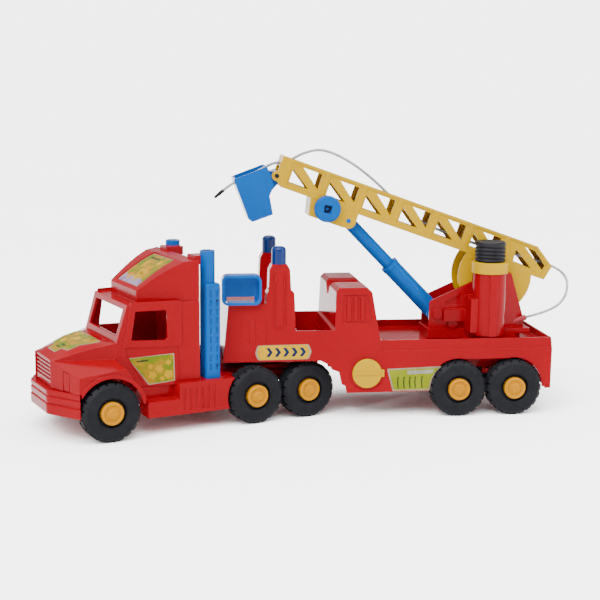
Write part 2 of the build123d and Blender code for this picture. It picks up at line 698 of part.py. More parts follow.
def strut_cylinder():
    """The outer tube, hinged between the turret's cheeks."""
    mouth = strut_length() - 90
    tube = along(0, mouth, STRUT_TUBE_RADIUS) + along(mouth - 6, mouth, STRUT_TUBE_RADIUS + 0.8)
    tube += crossbar(0, 0, STRUT_TUBE_RADIUS, -STRUT_TUBE_RADIUS, STRUT_TUBE_RADIUS)
    tube -= along(11, mouth + 2, STRUT_ROD_RADIUS + 0.35)
    tube -= crossbar(0, 0, STRUT_PIN_RADIUS + PIN_CLEARANCE, -30, 30)
    return on_strut(tube)


def strut_rod():
    """The sliding rod; its eye is slotted so that it has play on the boom's pin."""
    length = strut_length()
    rod = along(length - 90 - 55, length - 4.5, STRUT_ROD_RADIUS)
    rod += crossbar(length + 0.7, -STRUT_PLAY / 2, STRUT_EYE_RADIUS, -STRUT_ROD_RADIUS, STRUT_ROD_RADIUS)
    gap = STRUT_PIN_RADIUS + 0.3
    slot = block(length - gap, length + gap + 1.7, -20, 20, -STRUT_PLAY - gap, gap)
    return on_strut(rod - slot)


def strut_base_pin():
    return crossbar(*STRUT_BASE, STRUT_PIN_RADIUS, -CHEEK_OUTER_Y - 0.5, CHEEK_OUTER_Y + 0.5)


def strut_top_pin():
    half = BOOM_HALF_WIDTH
    return on_boom(crossbar(*STRUT_PIN_UV, STRUT_PIN_RADIUS, -half - 0.4, half + 0.4))


# ---------------------------------------------------------------- basket


def on_basket(piece):
    """Moves a piece from the basket's own frame, about its hinge, to its place."""
    x, z = boom_point(*TIP_PIN_UV)
    return Pos(x, 0, z) * Rot(0, -BASKET_PITCH, 0) * piece


def basket_side():
    return [
        (BASKET_BACK_U, BASKET_TOP_V),
        (BASKET_FRONT_U, BASKET_TOP_V - 1),
        (BASKET_FRONT_U + 1, BASKET_TOP_V - 4),
        (BASKET_FRONT_U, BASKET_FLOOR_V + 5),
        (BASKET_FRONT_U - 4, BASKET_FLOOR_V),
        (23, BASKET_FLOOR_V),
        (19, -22),
        (BASKET_BACK_U, -11),
    ]


def taper(low, high):
    """The space between two upright walls that lean in towards the floor."""
    corners = [(-low, BASKET_FLOOR_V - 5), (low, BASKET_FLOOR_V - 5), (high, 30), (-high, 30)]
    face = make_face(Plane.YZ * Polyline(*corners, close=True))
    return Pos(-30, 0, 0) * extrude(face, amount=120, dir=(1, 0, 0))


def basket():
    """The open rescue basket with its hinge lug."""
    wide = BASKET_HALF_WIDTH
    body = slab(basket_side(), -OVERRUN, OVERRUN) & taper(wide - 4, wide)
    hollow = [
        (BASKET_BACK_U + BASKET_WALL, 40),
        (BASKET_FRONT_U - BASKET_WALL, 40),
        (BASKET_FRONT_U - BASKET_WALL, BASKET_FLOOR_V + BASKET_WALL),
        (23 + BASKET_WALL, BASKET_FLOOR_V + BASKET_WALL),
        (19 + BASKET_WALL, -22),
        (BASKET_BACK_U + BASKET_WALL, -11),
    ]
    body -= slab(hollow, -OVERRUN, OVERRUN) & taper(wide - 4 - BASKET_WALL, wide - BASKET_WALL)
    lug = crossbar(0, 0, 7, -LUG_HALF, LUG_HALF)
    root = BASKET_BACK_U + 0.5
    lug += slab([(0, 7), (root, 10), (root, -11), (0, -7)], -LUG_HALF, LUG_HALF)
    lug += slab([(-1, -6), (root, -9), (BASKET_BACK_U + 6, -18), (4, -12)], -LUG_HALF, LUG_HALF)
    body += lug - slab(hollow, -OVERRUN, OVERRUN)
    body -= crossbar(0, 0, 3.0 + PIN_CLEARANCE, -60, 60)
    body -= along(BASKET_FRONT_U - 8, BASKET_FRONT_U + 5, 3.2).moved(Location((0, NOZZLE_Y, NOZZLE_V)))
    body -= block(BASKET_BACK_U - 4, BASKET_BACK_U + 5, -3.2, 3.2, 10.6, 25)
    return on_basket(body)


def basket_pin():
    x, z = boom_point(*TIP_PIN_UV)
    return crossbar(x, z, 3.0, -BOOM_HALF_WIDTH - 0.3, BOOM_HALF_WIDTH + 0.3)


# ---------------------------------------------------------------- hose


def hose_along(points, name):
    """A round tube: straight runs joined by tangent arcs at every corner."""
    radii = []
    for before, corner, after in zip(points, points[1:], points[2:]):
        first = Vector(*corner) - Vector(*before)
        second = Vector(*after) - Vector(*corner)
        turn = math.radians(first.get_angle(second))
        radii.append(0.45 * min(first.length, second.length) / math.tan(turn / 2))
    path = FilletPolyline(*points, radius=radii)
    print(name, "length", round(path.length, 2), "radii", [round(radius, 2) for radius in radii])
    tube = sweep(Plane(origin=path @ 0, z_dir=path % 0) * Circle(HOSE_RADIUS), path=path)
    print(name, "volume ratio", round(tube.volume / (math.pi * HOSE_RADIUS**2 * path.length), 4))
    return tube


def from_boom(u, y, v):
    x, z = boom_point(u, v)
    return x, y, z


def from_basket(u, y, v):
    """World point of the basket's own frame."""
    pivot_x, pivot_z = boom_point(*TIP_PIN_UV)
    turn = math.radians(BASKET_PITCH)
    x = pivot_x + u * math.cos(turn) - v * math.sin(turn)
    z = pivot_z + u * math.sin(turn) + v * math.cos(turn)
    return x, y, z


def hose_tail():
    """The free loop from the spigot up into the boom's tail."""
    points = [SPIGOT_END, (-419, 32, 135.8), (-448, 25, 150), (-459, 12, 177)]
    points.append(from_boom(-96, 0, HOSE_TAIL_V))
    points.append(from_boom(-76, 0, HOSE_TAIL_V))
    return hose_along(points, "hose_tail")


def hose_main():
    """The run inside the lattice, with the slack bow that stands above the boom."""
    route = [(-76, 0, HOSE_TAIL_V), (-36, 0, HOSE_TAIL_V), (20, 4, 51), (75, -4, 50), (130, 3, 54)]
    route += [(172, 0, 70), (215, 0, 89), (255, 0, 101), (295, 0, 104), (318, 0, 90), (332, 0, 74.4)]
    return hose_along([from_boom(*point) for point in route], "hose_main")


def hose_tip():
    """The last piece, over the hinge and through the basket to the nozzle."""
    start = from_boom(343, 0, 68)
    second = from_boom(343 + 12, 0, 68 - 7)
    rest = [(10, 0, 15), (27, 7, 13), (43, 17, 12.4), (57, NOZZLE_Y, NOZZLE_V), (68, NOZZLE_Y, 9.4)]
    points = [start, second] + [from_basket(*point) for point in rest]
    points.append(from_basket(76, NOZZLE_Y, 6.5))
    return hose_along(points, "hose_tip")


def nozzle():
    """A short tapered nozzle on the hose's end."""
    start = Vector(*from_basket(76, NOZZLE_Y, 6.5))
    direction = (start - Vector(*from_basket(68, NOZZLE_Y, 9.4))).normalized()
    body = Cylinder(HOSE_RADIUS + 0.5, NOZZLE_LENGTH * 0.55, align=(Align.CENTER, Align.CENTER, Align.MIN))
    from_end = (Align.CENTER, Align.CENTER, Align.MIN)
    cone = Cone(HOSE_RADIUS + 0.3, HOSE_RADIUS - 0.2, NOZZLE_LENGTH * 0.5, align=from_end)
    body += Pos(0, 0, NOZZLE_LENGTH * 0.5) * cone
    body -= Cylinder(0.9, 60)
    return Plane(origin=start, z_dir=direction) * body


# ---------------------------------------------------------------- tractor


def cab_profile(inset):
    """Side view of bonnet and cab, drawn inwards by the inset."""
    return [
        (306.5 - inset, 66.8 - inset),
        (306.5 - inset, 102.8 - inset),
        (270, 114.5 - inset),
        (228 - inset, 123.8 - inset),
        (213.3 - inset, 172.8 - inset),
        (CAB_REAR_X + inset, 172.8 - inset),
        (CAB_REAR_X + inset, 63.3 - inset),
        (274, 63.3 - inset),
        (274, 66.8 - inset),
    ]


def cab_plan(inset):
    """Plan of bonnet and cab, drawn inwards by the inset."""
    left = [(308, 35.5 - inset), (228, 60 - inset), (CAB_REAR_X - 1, 74 - inset)]
    return left + [(x, -y) for x, y in reversed(left)]


def bonnet_crown():
    """The crowned top that rises from the bonnet's two side creases to its middle."""
    sections = []
    for x, half, z, rise in BONNET_CROWN:
        corners = [(-half, z - 3), (half, z - 3), (half, z), (half - 9, z + 0.62 * rise)]
        corners += [(half - 20, z + rise), (20 - half, z + rise), (9 - half, z + 0.62 * rise), (-half, z)]
        sections.append(Pos(x, 0, 0) * make_face(Plane.YZ * Polyline(*corners, close=True)))
    return loft(sections, ruled=True)


def deflector_profile(inset):
    return [
        (195.2 - inset, 171 - inset),
        (195.2 - inset, 188.4 - inset),
        (188, 194 - inset),
        (178.2, 201 - inset),
        (166, 209.4 - inset),
        (152, 217.7 - inset),
        (136, 225.3 - inset),
        (CAB_REAR_X + inset, 227.6 - inset),
        (CAB_REAR_X + inset, 171 - inset),
    ]


def deflector_plan(inset):
    left = [(197, 44 - inset), (194, 48.5 - inset), (CAB_REAR_X - 1, 73.6 - inset)]
    return left + [(x, -y) for x, y in reversed(left)]


def fender():
    """Left front wing: outer face, sloping top and wheel arch."""
    wing = flat([(308, 33), (287, FENDER_Y), (196, FENDER_Y), (196, 33)], 46, 130)
    top = Plane(origin=(287, FENDER_Y, 88), z_dir=(264.6, 845.6, 2459.8))
    wing -= top * Pos(0, 0, 100) * Box(400, 400, 200)
    wing -= slab([(198, 40), (198, 57.5), (219.4, 87.6), (246, 125), (150, 140), (150, 40)], 0, OVERRUN)
    wing -= crossbar(FRONT_AXLE_X, TYRE_RADIUS, 45, 50, OVERRUN)
    wing -= block(245, 330, 0, OVERRUN, 0, BUMPER_TOP_Z + 0.2)
    wing -= block(180, 245, 0, 50, 0, 63.3)
    lip = crossbar(FRONT_AXLE_X, TYRE_RADIUS, 50, FENDER_Y - 1, FENDER_Y + 1.6)
    lip -= crossbar(FRONT_AXLE_X, TYRE_RADIUS, 45, 50, OVERRUN)
    return wing + (lip & block(203, 284, 0, OVERRUN, 57.5, 100))


def lamp_recess():
    """The left headlamp's recess in the slanting front corner of the wing."""
    face = Plane(origin=(296.5, 62, 77.5), z_dir=(0.925, 0.381, 0))
    return face * RectangleRounded(13, 32, 3)


def side_window():
    """Outline of the side window's opening."""
    return [(209, 126), (203, 164), (164, 164), (161, 160), (161, 127), (164, 124)]


def window_frame():
    return [(219, 117), (209, 176), (146, 176), (142, 172), (142, 119), (146, 115)]


def cab_shell():
    """Bonnet, cab, roof deflector and front wings as one shell."""
    body = slab(cab_profile(0), -OVERRUN, OVERRUN) & flat(cab_plan(0), 40, 240)
    body += slab(deflector_profile(0), -OVERRUN, OVERRUN) & flat(deflector_plan(0), 160, 240)
    body += both_sides(fender()) + bonnet_crown()
    frame = slab(window_frame(), 0, OVERRUN) & (flat(cab_plan(-1.4), 40, 240) - flat(cab_plan(1), 30, 250))
    body += both_sides(frame)
    body -= slab(cab_profile(WALL), -OVERRUN, OVERRUN) & flat(cab_plan(WALL), 30, 250)
    body -= block(CAB_REAR_X + WALL, 280, -OVERRUN, OVERRUN, 50, 70) & flat(cab_plan(WALL), 30, 250)
    body -= slab(deflector_profile(WALL), -OVERRUN, OVERRUN) & flat(deflector_plan(WALL), 150, 250)
    body -= slab(side_window(), -OVERRUN, OVERRUN)
    body -= block(205, 240, -51, 51, 131.5, 166)
    body -= block(180, 240, -38, 38, 192, 240) - slab(deflector_profile(1.6), -OVERRUN, OVERRUN)
    body -= block(134, 192, -38, 38, 192, 240) - slab(deflector_profile(1.6), -OVERRUN, OVERRUN)
    for index in range(GRILLE_BARS):
        z = 76.0 + index * 5.2
        body -= block(304.6, 310, -33, 33, z, z + 3.0)
    body -= both_sides(extrude(lamp_recess(), amount=4) + extrude(lamp_recess(), amount=-2.6))
    body -= crossbar(FRONT_AXLE_X, TYRE_RADIUS, 45, 58, OVERRUN) + crossbar(
        FRONT_AXLE_X, TYRE_RADIUS, 45, -OVERRUN, -58
    )
    body += both_sides(block(CAB_REAR_X - 24, CAB_REAR_X + 1, 36, 60, 220, 231.5))
    body -= both_sides(upright(STACK_X, STACK_Y, STACK_RADIUS + 0.05, 200, 250))
    return body


def bumper_plan(inset):
    """Plan of the bumper, drawn inwards by the inset on its outer faces."""
    side_y = FENDER_Y - inset
    left = [(315 - inset, 37), (287.5 - 0.6 * inset, side_y), (286, side_y), (286, 58), (276, 56)]
    return left + [(x, -y) for x, y in reversed(left)]


def front_bumper():
    """The deep bumper with two grooves that run round it."""
    body = flat(bumper_plan(0), BUMPER_LOW_Z, BUMPER_TOP_Z)
    body = fillet(body.edges().filter_by(Axis.Z).group_by(Axis.X)[-1], 4)
    for z in BUMPER_GROOVES_Z:
        low, high = z - GROOVE_WIDTH / 2, z + GROOVE_WIDTH / 2
        body -= flat(bumper_plan(-3), low, high) - flat(bumper_plan(GROOVE_DEPTH), low, high)
    return body


def tractor_chassis():
    """Rails, floor, side tanks, rear deck and axle bearings."""
    rails = both_sides(block(-84, 275.5, 30, 36, 44, 60.5))
    floor = block(CAB_REAR_X + 0.3, 275.5, -56, 56, 60, 62.8)
    deck = block(62, CAB_REAR_X - 0.3, -77, 77, 63, 67)
    tank = block(70, CAB_REAR_X - 0.3, 56, 84, 25, 67) + block(CAB_REAR_X - 0.3, 150, 56, 84, 25, 62.8)
    for index in range(TANK_RIBS):
        x = 98.0 + index * 8.6
        tank -= block(x, x + 4.4, 82.6, 90, 30, 60)
    tank += block(CAB_REAR_X - 0.4, 150, 74.4, 84, 62, 67)
    step = block(149, 194, 50, 84, 25, 46)
    step += block(CAB_REAR_X + 0.3, 196, 54, 65, 40, 62.8)
    hanger = block(140, 190, 30, 56, 40, 50)
    deck += both_sides(tank + step + hanger)
    body = rails + floor + deck
    body += block(-60, 80, -36, 36, 61.5, 68) + block(-84, -78, -36, 36, 46, 68)
    body += both_sides(block(-78, 84, 36, 44, 54, 60.5))
    for x in (FRONT_AXLE_X, DRIVE_AXLES_X[0], DRIVE_AXLES_X[1]):
        body += both_sides(block(x - 8, x + 8, 30, 54, 31, 60.2))
    body -= both_sides(block(-84, 84, 29, 60, 68, 90))
    for x in DRIVE_AXLES_X:
        body -= both_sides(crossbar(x, TYRE_RADIUS, ARCH_RADIUS, 58.5, OVERRUN))
    body -= both_sides(crossbar(FRONT_AXLE_X, TYRE_RADIUS, 45, 58.5, OVERRUN))
    for x in (FRONT_AXLE_X, DRIVE_AXLES_X[0], DRIVE_AXLES_X[1]):
        body -= crossbar(x, TYRE_RADIUS, AXLE_RADIUS + AXLE_CLEARANCE, -70, 70)
    body -= upright(0, 0, 16, 50, 90)
    return body


def fifth_wheel():
    """The coupling plate with its boss, on top of the chassis."""
    plate = upright(0, 0, 46, 72, 79.8) & block(-46, 46, -42, 42, 60, 90)
    plate += upright(0, 0, 16, 61.5, 73) + block(-30, 30, -28, 28, 68, 73)
    mouth = flat([(-50, 22), (-50, -22), (-14, -7.05), (0, -7.05), (0, 7.05), (-14, 7.05)], 75, 82)
    return plate - upright(0, 0, KINGPIN_RADIUS + PIN_CLEARANCE, 50, 90) - mouth


def exhaust(side):
    """A stack in its slotted guard."""
    guard = block(86.5, 107.5, 50, 75, 67, 195)
    guard = fillet(guard.edges().filter_by(Axis.Z), 4)
    guard = fillet(guard.faces().sort_by(Axis.Z)[-1].edges(), 2.5)
    pipe = upright(STACK_X, STACK_Y, STACK_RADIUS, 190, STACK_TOP_Z)
    body = guard + pipe
    for x in (91.0, 100.0):
        for index in range(STACK_SLOTS):
            z = 78.0 + index * 12.4
            body -= block(x, x + 2.8, 73.6, 80, z, z + 9)
    body -= upright(STACK_X, STACK_Y, STACK_RADIUS - 2.2, STACK_TOP_Z - 34, STACK_TOP_Z + 1)
    return body if side > 0 else mirror(body, Plane.XZ)


def cab_screws():
    """Screws through the chassis floor into the cab."""
    group = []
    for x in (130, 262):
        for y in (-44, 44):
            group.append(upright(x, y, 2.4, 58.4, 60))
    return group


# ---------------------------------------------------------------- nodes


def wheel_set(name, axle_x, on_tractor):
    """The rod, tyres and caps of one axle."""
    place = Pos(axle_x, 0, TYRE_RADIUS)
    if on_tractor:
        place = Rot(0, 0, TRACTOR_YAW) * place
    caps = [place * hub_cap(1), place * hub_cap(-1)]
    return {
        name + "_rod": place * axle_rod(),
        name + "_tyre_left": place * tyre(1),
        name + "_tyre_right": place * tyre(-1),
        name + "_caps": caps,
    }


def yawed(piece):
    return Rot(0, 0, TRACTOR_YAW) * piece


def all_nodes():
    spigot, spigot_seat = hose_spigot()
    nodes = {
        "trailer_body": trailer_body(),
        "trailer_frame": trailer_frame(),
        "trailer_screws": trailer_screws(),
        "kingpin": kingpin(),
        "beacon_left": beacon(1),
        "beacon_right": beacon(-1),
        "side_tray": side_tray(),
        "filler_cap": filler_cap(),
        "turret_base": turret_base(),
        "turret_pivot": turret_pivot(),
        "turret_left_cheek": left_cheek() - spigot_seat,
        "turret_right_cheek": right_cheek(),
        "pump_collar": pump_collar(),
        "pump_bellows": pump_bellows(),
        "hose_spigot": spigot,
        "boom_beam": boom_beam(),
        "boom_pivot_pin": boom_pivot_pin(),
        "boom_bracket": boom_bracket(),
        "winch_shaft": winch_shaft(),
        "winch_knob": winch_knob(),
        "strut_cylinder": strut_cylinder(),
        "strut_rod": strut_rod(),
        "strut_base_pin": strut_base_pin(),
        "strut_top_pin": strut_top_pin(),
        "basket": basket(),
        "basket_pin": basket_pin(),
        "hose_tail": hose_tail(),
        "hose_main": hose_main(),
        "hose_tip": hose_tip(),
        "nozzle": nozzle(),
        "tractor_chassis": yawed(tractor_chassis()),
        "cab_shell": yawed(cab_shell()),
        "front_bumper": yawed(front_bumper()),
        "exhaust_left": yawed(exhaust(1)),
        "exhaust_right": yawed(exhaust(-1)),
        "fifth_wheel": yawed(fifth_wheel()),
        "cab_screws": [yawed(screw) for screw in cab_screws()],
    }
    nodes.update(wheel_set("front_axle", FRONT_AXLE_X, True))
    nodes.update(wheel_set("drive_axle_1", DRIVE_AXLES_X[0], True))
    nodes.update(wheel_set("drive_axle_2", DRIVE_AXLES_X[1], True))
    nodes.update(wheel_set("trailer_axle_1", TRAILER_AXLES_X[0], False))
    nodes.update(wheel_set("trailer_axle_2", TRAILER_AXLES_X[1], False))
    return nodes


def main():
    os.makedirs("parts", exist_ok=True)
    shift = Pos(-ORIGIN_X, -ORIGIN_Y, 0)
    for name, piece in all_nodes().items():
        if isinstance(piece, list):
            piece = Compound(children=[shift * solid for solid in piece])
        else:
            piece = shift * piece
        export_step(piece, "parts/" + name + ".step")
        print(name, len(piece.solids()), round(piece.volume))


main()
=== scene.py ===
import json
import math

import bmesh
import bpy
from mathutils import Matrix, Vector


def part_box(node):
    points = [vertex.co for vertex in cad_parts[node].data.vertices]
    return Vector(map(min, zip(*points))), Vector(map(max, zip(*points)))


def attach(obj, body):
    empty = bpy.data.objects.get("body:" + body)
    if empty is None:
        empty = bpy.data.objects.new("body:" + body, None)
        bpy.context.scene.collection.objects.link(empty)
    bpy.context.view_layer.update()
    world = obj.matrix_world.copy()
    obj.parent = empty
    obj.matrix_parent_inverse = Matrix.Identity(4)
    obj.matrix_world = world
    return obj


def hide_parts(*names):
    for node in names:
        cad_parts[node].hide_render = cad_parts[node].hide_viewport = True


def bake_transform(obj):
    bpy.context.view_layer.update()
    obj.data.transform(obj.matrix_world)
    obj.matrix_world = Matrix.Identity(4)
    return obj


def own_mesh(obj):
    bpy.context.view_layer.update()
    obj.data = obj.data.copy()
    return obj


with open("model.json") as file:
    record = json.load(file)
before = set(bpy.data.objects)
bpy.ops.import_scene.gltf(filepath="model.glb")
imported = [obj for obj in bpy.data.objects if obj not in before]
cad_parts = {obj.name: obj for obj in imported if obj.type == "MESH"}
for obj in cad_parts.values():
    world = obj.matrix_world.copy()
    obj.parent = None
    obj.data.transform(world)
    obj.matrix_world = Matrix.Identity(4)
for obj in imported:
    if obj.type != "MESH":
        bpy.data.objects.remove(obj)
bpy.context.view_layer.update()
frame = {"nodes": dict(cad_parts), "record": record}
nodes = frame["nodes"]

# The model's ground point under the kingpin, from the frame's own nodes: the trailer is straight
# along X about it and the tractor is turned to the left about it.
pin_low, pin_high = (Vector(corner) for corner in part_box("kingpin"))
PIN = Vector(((pin_low.x + pin_high.x) / 2, (pin_low.y + pin_high.y) / 2, 0))
TRACTOR_YAW = math.radians(20.3)
BOOM_PIVOT = (-339, 172)
BOOM_PITCH = math.radians(19.2)
BASKET_HINGE = (345.4, 47.6)
BASKET_PITCH = math.radians(-19.8)


def mm(x, y, z):
    """A point of the trailer's frame."""
    return PIN + Vector((x, y, z)) / 1000


def cab(x, y, z):
    """A point of the tractor's own straight frame."""
    c, s = math.cos(TRACTOR_YAW), math.sin(TRACTOR_YAW)
    return mm(c * x - s * y, s * x + c * y, z)


def boom(u, y, v):
    """A point of the boom's frame: u along it, v up from it."""
    c, s = math.cos(BOOM_PITCH), math.sin(BOOM_PITCH)
    return mm(BOOM_PIVOT[0] + u * c - v * s, y, BOOM_PIVOT[1] + u * s + v * c)


def cage(u, y, v):
    """A point of the basket's frame, about its hinge."""
    hinge = boom(BASKET_HINGE[0], 0, BASKET_HINGE[1])
    c, s = math.cos(BASKET_PITCH), math.sin(BASKET_PITCH)
    return hinge + Vector((u * c - v * s, y, u * s + v * c)) / 1000


def left_face(node):
    """How far to the left a CAD node reaches in the trailer's frame."""
    return (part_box(node)[1][1] - PIN.y) * 1000


# ------------------------------------------------------------------ camera

CAMERA_PLACE = (185.44, 1756.72, 463.71)
CAMERA_TURN = (79.0687, -0.7774, 170.9224)

camera_data = bpy.data.cameras.new("camera")
camera = bpy.data.objects.new("camera", camera_data)
bpy.context.collection.objects.link(camera)
camera.location = mm(*CAMERA_PLACE)
camera.rotation_euler = tuple(math.radians(angle) for angle in CAMERA_TURN)
camera_data.sensor_width = 36
camera_data.lens = 75.984
camera_data.shift_x = -0.0399
camera_data.shift_y = 0.0377
camera_data.clip_end = 50
bpy.context.scene.camera = camera


# ------------------------------------------------------------------ materials


class Tree:
    """A short way to build a material's nodes."""

    SOCKETS = {
        "color": "Base Color",
        "rough": "Roughness",
        "normal": "Normal",
        "coat": "Coat Weight",
        "metal": "Metallic",
        "clear": "Transmission Weight",
        "specular": "Specular IOR Level",
    }

    def __init__(self, name):
        self.material = bpy.data.materials.new(name)
        self.material.use_nodes = True
        self.tree = self.material.node_tree
        self.tree.nodes.clear()
        self.out = self.tree.nodes.new("ShaderNodeOutputMaterial")
        self.shader = self.tree.nodes.new("ShaderNodeBsdfPrincipled")
        self.link(self.shader.outputs[0], self.out.inputs["Surface"])
        self.place = self.tree.nodes.new("ShaderNodeTexCoord").outputs["Object"]

    def link(self, source, target):
        self.tree.links.new(source, target)

    def put(self, socket, value):
        """Links a socket to another node's output, or sets its value."""
        if hasattr(value, "is_output"):
            self.link(value, socket)
        elif hasattr(value, "__len__") and len(value) == 3 and socket.type == "RGBA":
            socket.default_value = (*value, 1)
        else:
            socket.default_value = value

    def noise(self, scale, detail=2.0, roughness=0.5, stretch=None):
        node = self.tree.nodes.new("ShaderNodeTexNoise")
        node.inputs["Scale"].default_value = scale
        node.inputs["Detail"].default_value = detail
        node.inputs["Roughness"].default_value = roughness
        vector = self.place
        if stretch:
            mapping = self.tree.nodes.new("ShaderNodeMapping")
            mapping.inputs["Scale"].default_value = stretch
            self.link(self.place, mapping.inputs["Vector"])
            vector = mapping.outputs[0]
        self.link(vector, node.inputs["Vector"])
        return node.outputs["Fac"]

    def span(self, value, low, high, from_low=0.3, from_high=0.7):
        """A value moved from one range to another; noise lies mostly between 0.3 and 0.7."""
        node = self.tree.nodes.new("ShaderNodeMapRange")
        node.clamp = True
        self.put(node.inputs["Value"], value)
        node.inputs["From Min"].default_value = from_low
        node.inputs["From Max"].default_value = from_high
        node.inputs["To Min"].default_value = low
        node.inputs["To Max"].default_value = high
        return node.outputs[0]

    def less(self, first, second):
        """The first value less the second."""
        node = self.tree.nodes.new("ShaderNodeMath")
        node.operation = "SUBTRACT"
        self.put(node.inputs[0], first)
        self.put(node.inputs[1], second)
        return node.outputs[0]

    def mix(self, factor, first, second):
        node = self.tree.nodes.new("ShaderNodeMix")
        node.data_type = "RGBA"
        self.put(node.inputs["Factor"], factor)
        self.put(node.inputs["A"], first)
        self.put(node.inputs["B"], second)
        return node.outputs["Result"]

    def rounded(self, radius):
        """The normal of the surface with its sharp edges rounded."""
        node = self.tree.nodes.new("ShaderNodeBevel")
        node.samples = 6
        node.inputs["Radius"].default_value = radius
        return node.outputs[0]

    def edges(self, normal, strength):
        """How strongly a point lies on a rounded edge, from 0 to the strength; the mask for painted
        edge highlights.
        """
        geometry = self.tree.nodes.new("ShaderNodeNewGeometry")
        dot = self.tree.nodes.new("ShaderNodeVectorMath")
        dot.operation = "DOT_PRODUCT"
        self.link(normal, dot.inputs[0])
        self.link(geometry.outputs["True Normal"], dot.inputs[1])
        away = self.less(1.0, dot.outputs["Value"])
        return self.span(away, 0.0, strength, 0.01, 0.25)

    def hollow(self, reach):
        """How far into a hollow of the object a point lies, from 0 in the open to 1; the mask for
        painted light in hollows.
        """
        node = self.tree.nodes.new("ShaderNodeAmbientOcclusion")
        node.samples = 4
        node.inputs["Distance"].default_value = reach
        return self.span(node.outputs["AO"], 1.0, 0.0, 0.0, 0.3)

    def bump(self, height, distance, strength, normal=None):
        node = self.tree.nodes.new("ShaderNodeBump")
        node.inputs["Distance"].default_value = distance
        node.inputs["Strength"].default_value = strength
        self.link(height, node.inputs["Height"])
        if normal is not None:
            self.link(normal, node.inputs["Normal"])
        return node.outputs[0]

    def set(self, **values):
        """Sets the shader's sockets and hands back the finished material."""
        for key, value in values.items():
            self.put(self.shader.inputs[self.SOCKETS[key]], value)
        return self.material


# Saturated plastics are kept nearly free of the white veil that a higher specular level adds.
GLOSS = 0.045
HOLLOW_REACH = 0.25
PLASTIC_EDGE = 0.0009


def moulded(name, color, shade, edge, rough, hollow_light=None):
    """Injection-moulded plastic: soft rounded edges, faint flow marks and a fine skin.
    The edge colour is a painted highlight on the rounded edges, and the hollow colour is painted light
    that brightens hollows, standing in for light let through the thin walls."""
    t = Tree(name)
    cloud = t.noise(9, 3.0)
    flow = t.noise(22, 2.0, stretch=(1.0, 1.0, 0.25))
    base = t.mix(t.span(cloud, 0, 1), color, shade)
    base = t.mix(t.span(flow, 0, 0.22), base, shade)
    # Painted light: hollows are painted a brighter, livelier colour, standing in for light that
    # bounces inside and passes through the walls.
    if hollow_light:
        base = t.mix(t.hollow(HOLLOW_REACH), base, hollow_light)
    normal = t.rounded(PLASTIC_EDGE)
    # Painted highlight: rounded edges are painted a lighter colour.
    base = t.mix(t.edges(normal, 0.45), base, edge)
    skin = t.bump(t.noise(1300, 2.0), 0.00003, 0.3, normal)
    wave = t.bump(t.noise(55, 1.0), 0.0003, 0.12, skin)
    smear = t.span(t.noise(48, 4.0, 0.6), rough - 0.03, rough + 0.06)
    return t.set(color=base, rough=smear, normal=wave, specular=GLOSS)


# Each plastic's edge colour below is a painted highlight on its rounded edges, and its hollow colour
# is painted light for its hollows.
RED = moulded(
    "red_plastic",
    color=(0.130, 0.0, 0.0022),
    shade=(0.112, 0.0, 0.002),
    edge=(0.24, 0.014, 0.02),
    rough=0.14,
    hollow_light=(0.30, 0.0, 0.005),
)
YELLOW = moulded(
    "yellow_plastic",
    color=(0.235, 0.138, 0.0),
    shade=(0.205, 0.118, 0.0),
    edge=(0.36, 0.24, 0.006),
    rough=0.17,
    hollow_light=(0.4, 0.2, 0.0),
)
BLUE = moulded(
    "blue_plastic",
    color=(0.0, 0.040, 0.165),
    shade=(0.0, 0.033, 0.14),
    edge=(0.01, 0.09, 0.27),
    rough=0.14,
    hollow_light=(0.0, 0.08, 0.4),
)
CAP = moulded(
    "cap_plastic",
    color=(0.25, 0.105, 0.0),
    shade=(0.21, 0.08, 0.0),
    edge=(0.38, 0.19, 0.006),
    rough=0.18,
)
SPIGOT = moulded(
    "spigot_plastic",
    color=(0.17, 0.022, 0.028),
    shade=(0.14, 0.012, 0.016),
    edge=(0.28, 0.10, 0.11),
    rough=0.2,
)
BLACK = moulded(
    "black_plastic",
    color=(0.008, 0.008, 0.0095),
    shade=(0.005, 0.005, 0.006),
    edge=(0.03, 0.03, 0.033),
    rough=0.42,
)


def lamp_material():
    """Dark blue see-through plastic with upright mould flutes."""
    t = Tree("lamp_plastic")
    flutes = t.noise(160, 1.0, stretch=(1.0, 1.0, 0.03))
    normal = t.rounded(0.0008)
    normal = t.bump(flutes, 0.0008, 0.35, normal)
    color = t.mix(t.span(flutes, 0, 1), (0.0, 0.006, 0.050), (0.0, 0.014, 0.085))
    rough = t.span(t.noise(90, 2.0), 0.08, 0.2)
    return t.set(color=color, rough=rough, normal=normal, clear=0.05, specular=0.12)


def tyre_material():
    """Blown black plastic with a dusty bloom and a matt grain."""
    t = Tree("tyre")
    dust = t.noise(55, 4.0, 0.6)
    color = t.mix(t.span(dust, 0, 1), (0.0035, 0.0036, 0.0046), (0.006, 0.0062, 0.0076))
    normal = t.rounded(0.0011)
    # Painted highlight: the tyre's rounded edges are painted a lighter grey.
    color = t.mix(t.edges(normal, 0.7), color, (0.02, 0.02, 0.023))
    grain = t.bump(t.noise(900, 3.0), 0.00008, 0.6, normal)
    rough = t.span(t.noise(30, 3.0), 0.42, 0.6)
    return t.set(color=color, rough=rough, normal=grain, specular=0.04)


def rubber_material():
    """Soft black rubber for the bellows."""
    t = Tree("bellows_rubber")
    bloom = t.noise(80, 4.0, 0.6)
    color = t.mix(t.span(bloom, 0, 1), (0.004, 0.004, 0.005), (0.009, 0.009, 0.011))
    normal = t.rounded(0.0008)
    grain = t.bump(t.noise(1100, 3.0), 0.00006, 0.6, normal)
    rough = t.span(t.noise(40, 2.0), 0.3, 0.45)
    return t.set(color=color, rough=rough, normal=grain, specular=0.07)


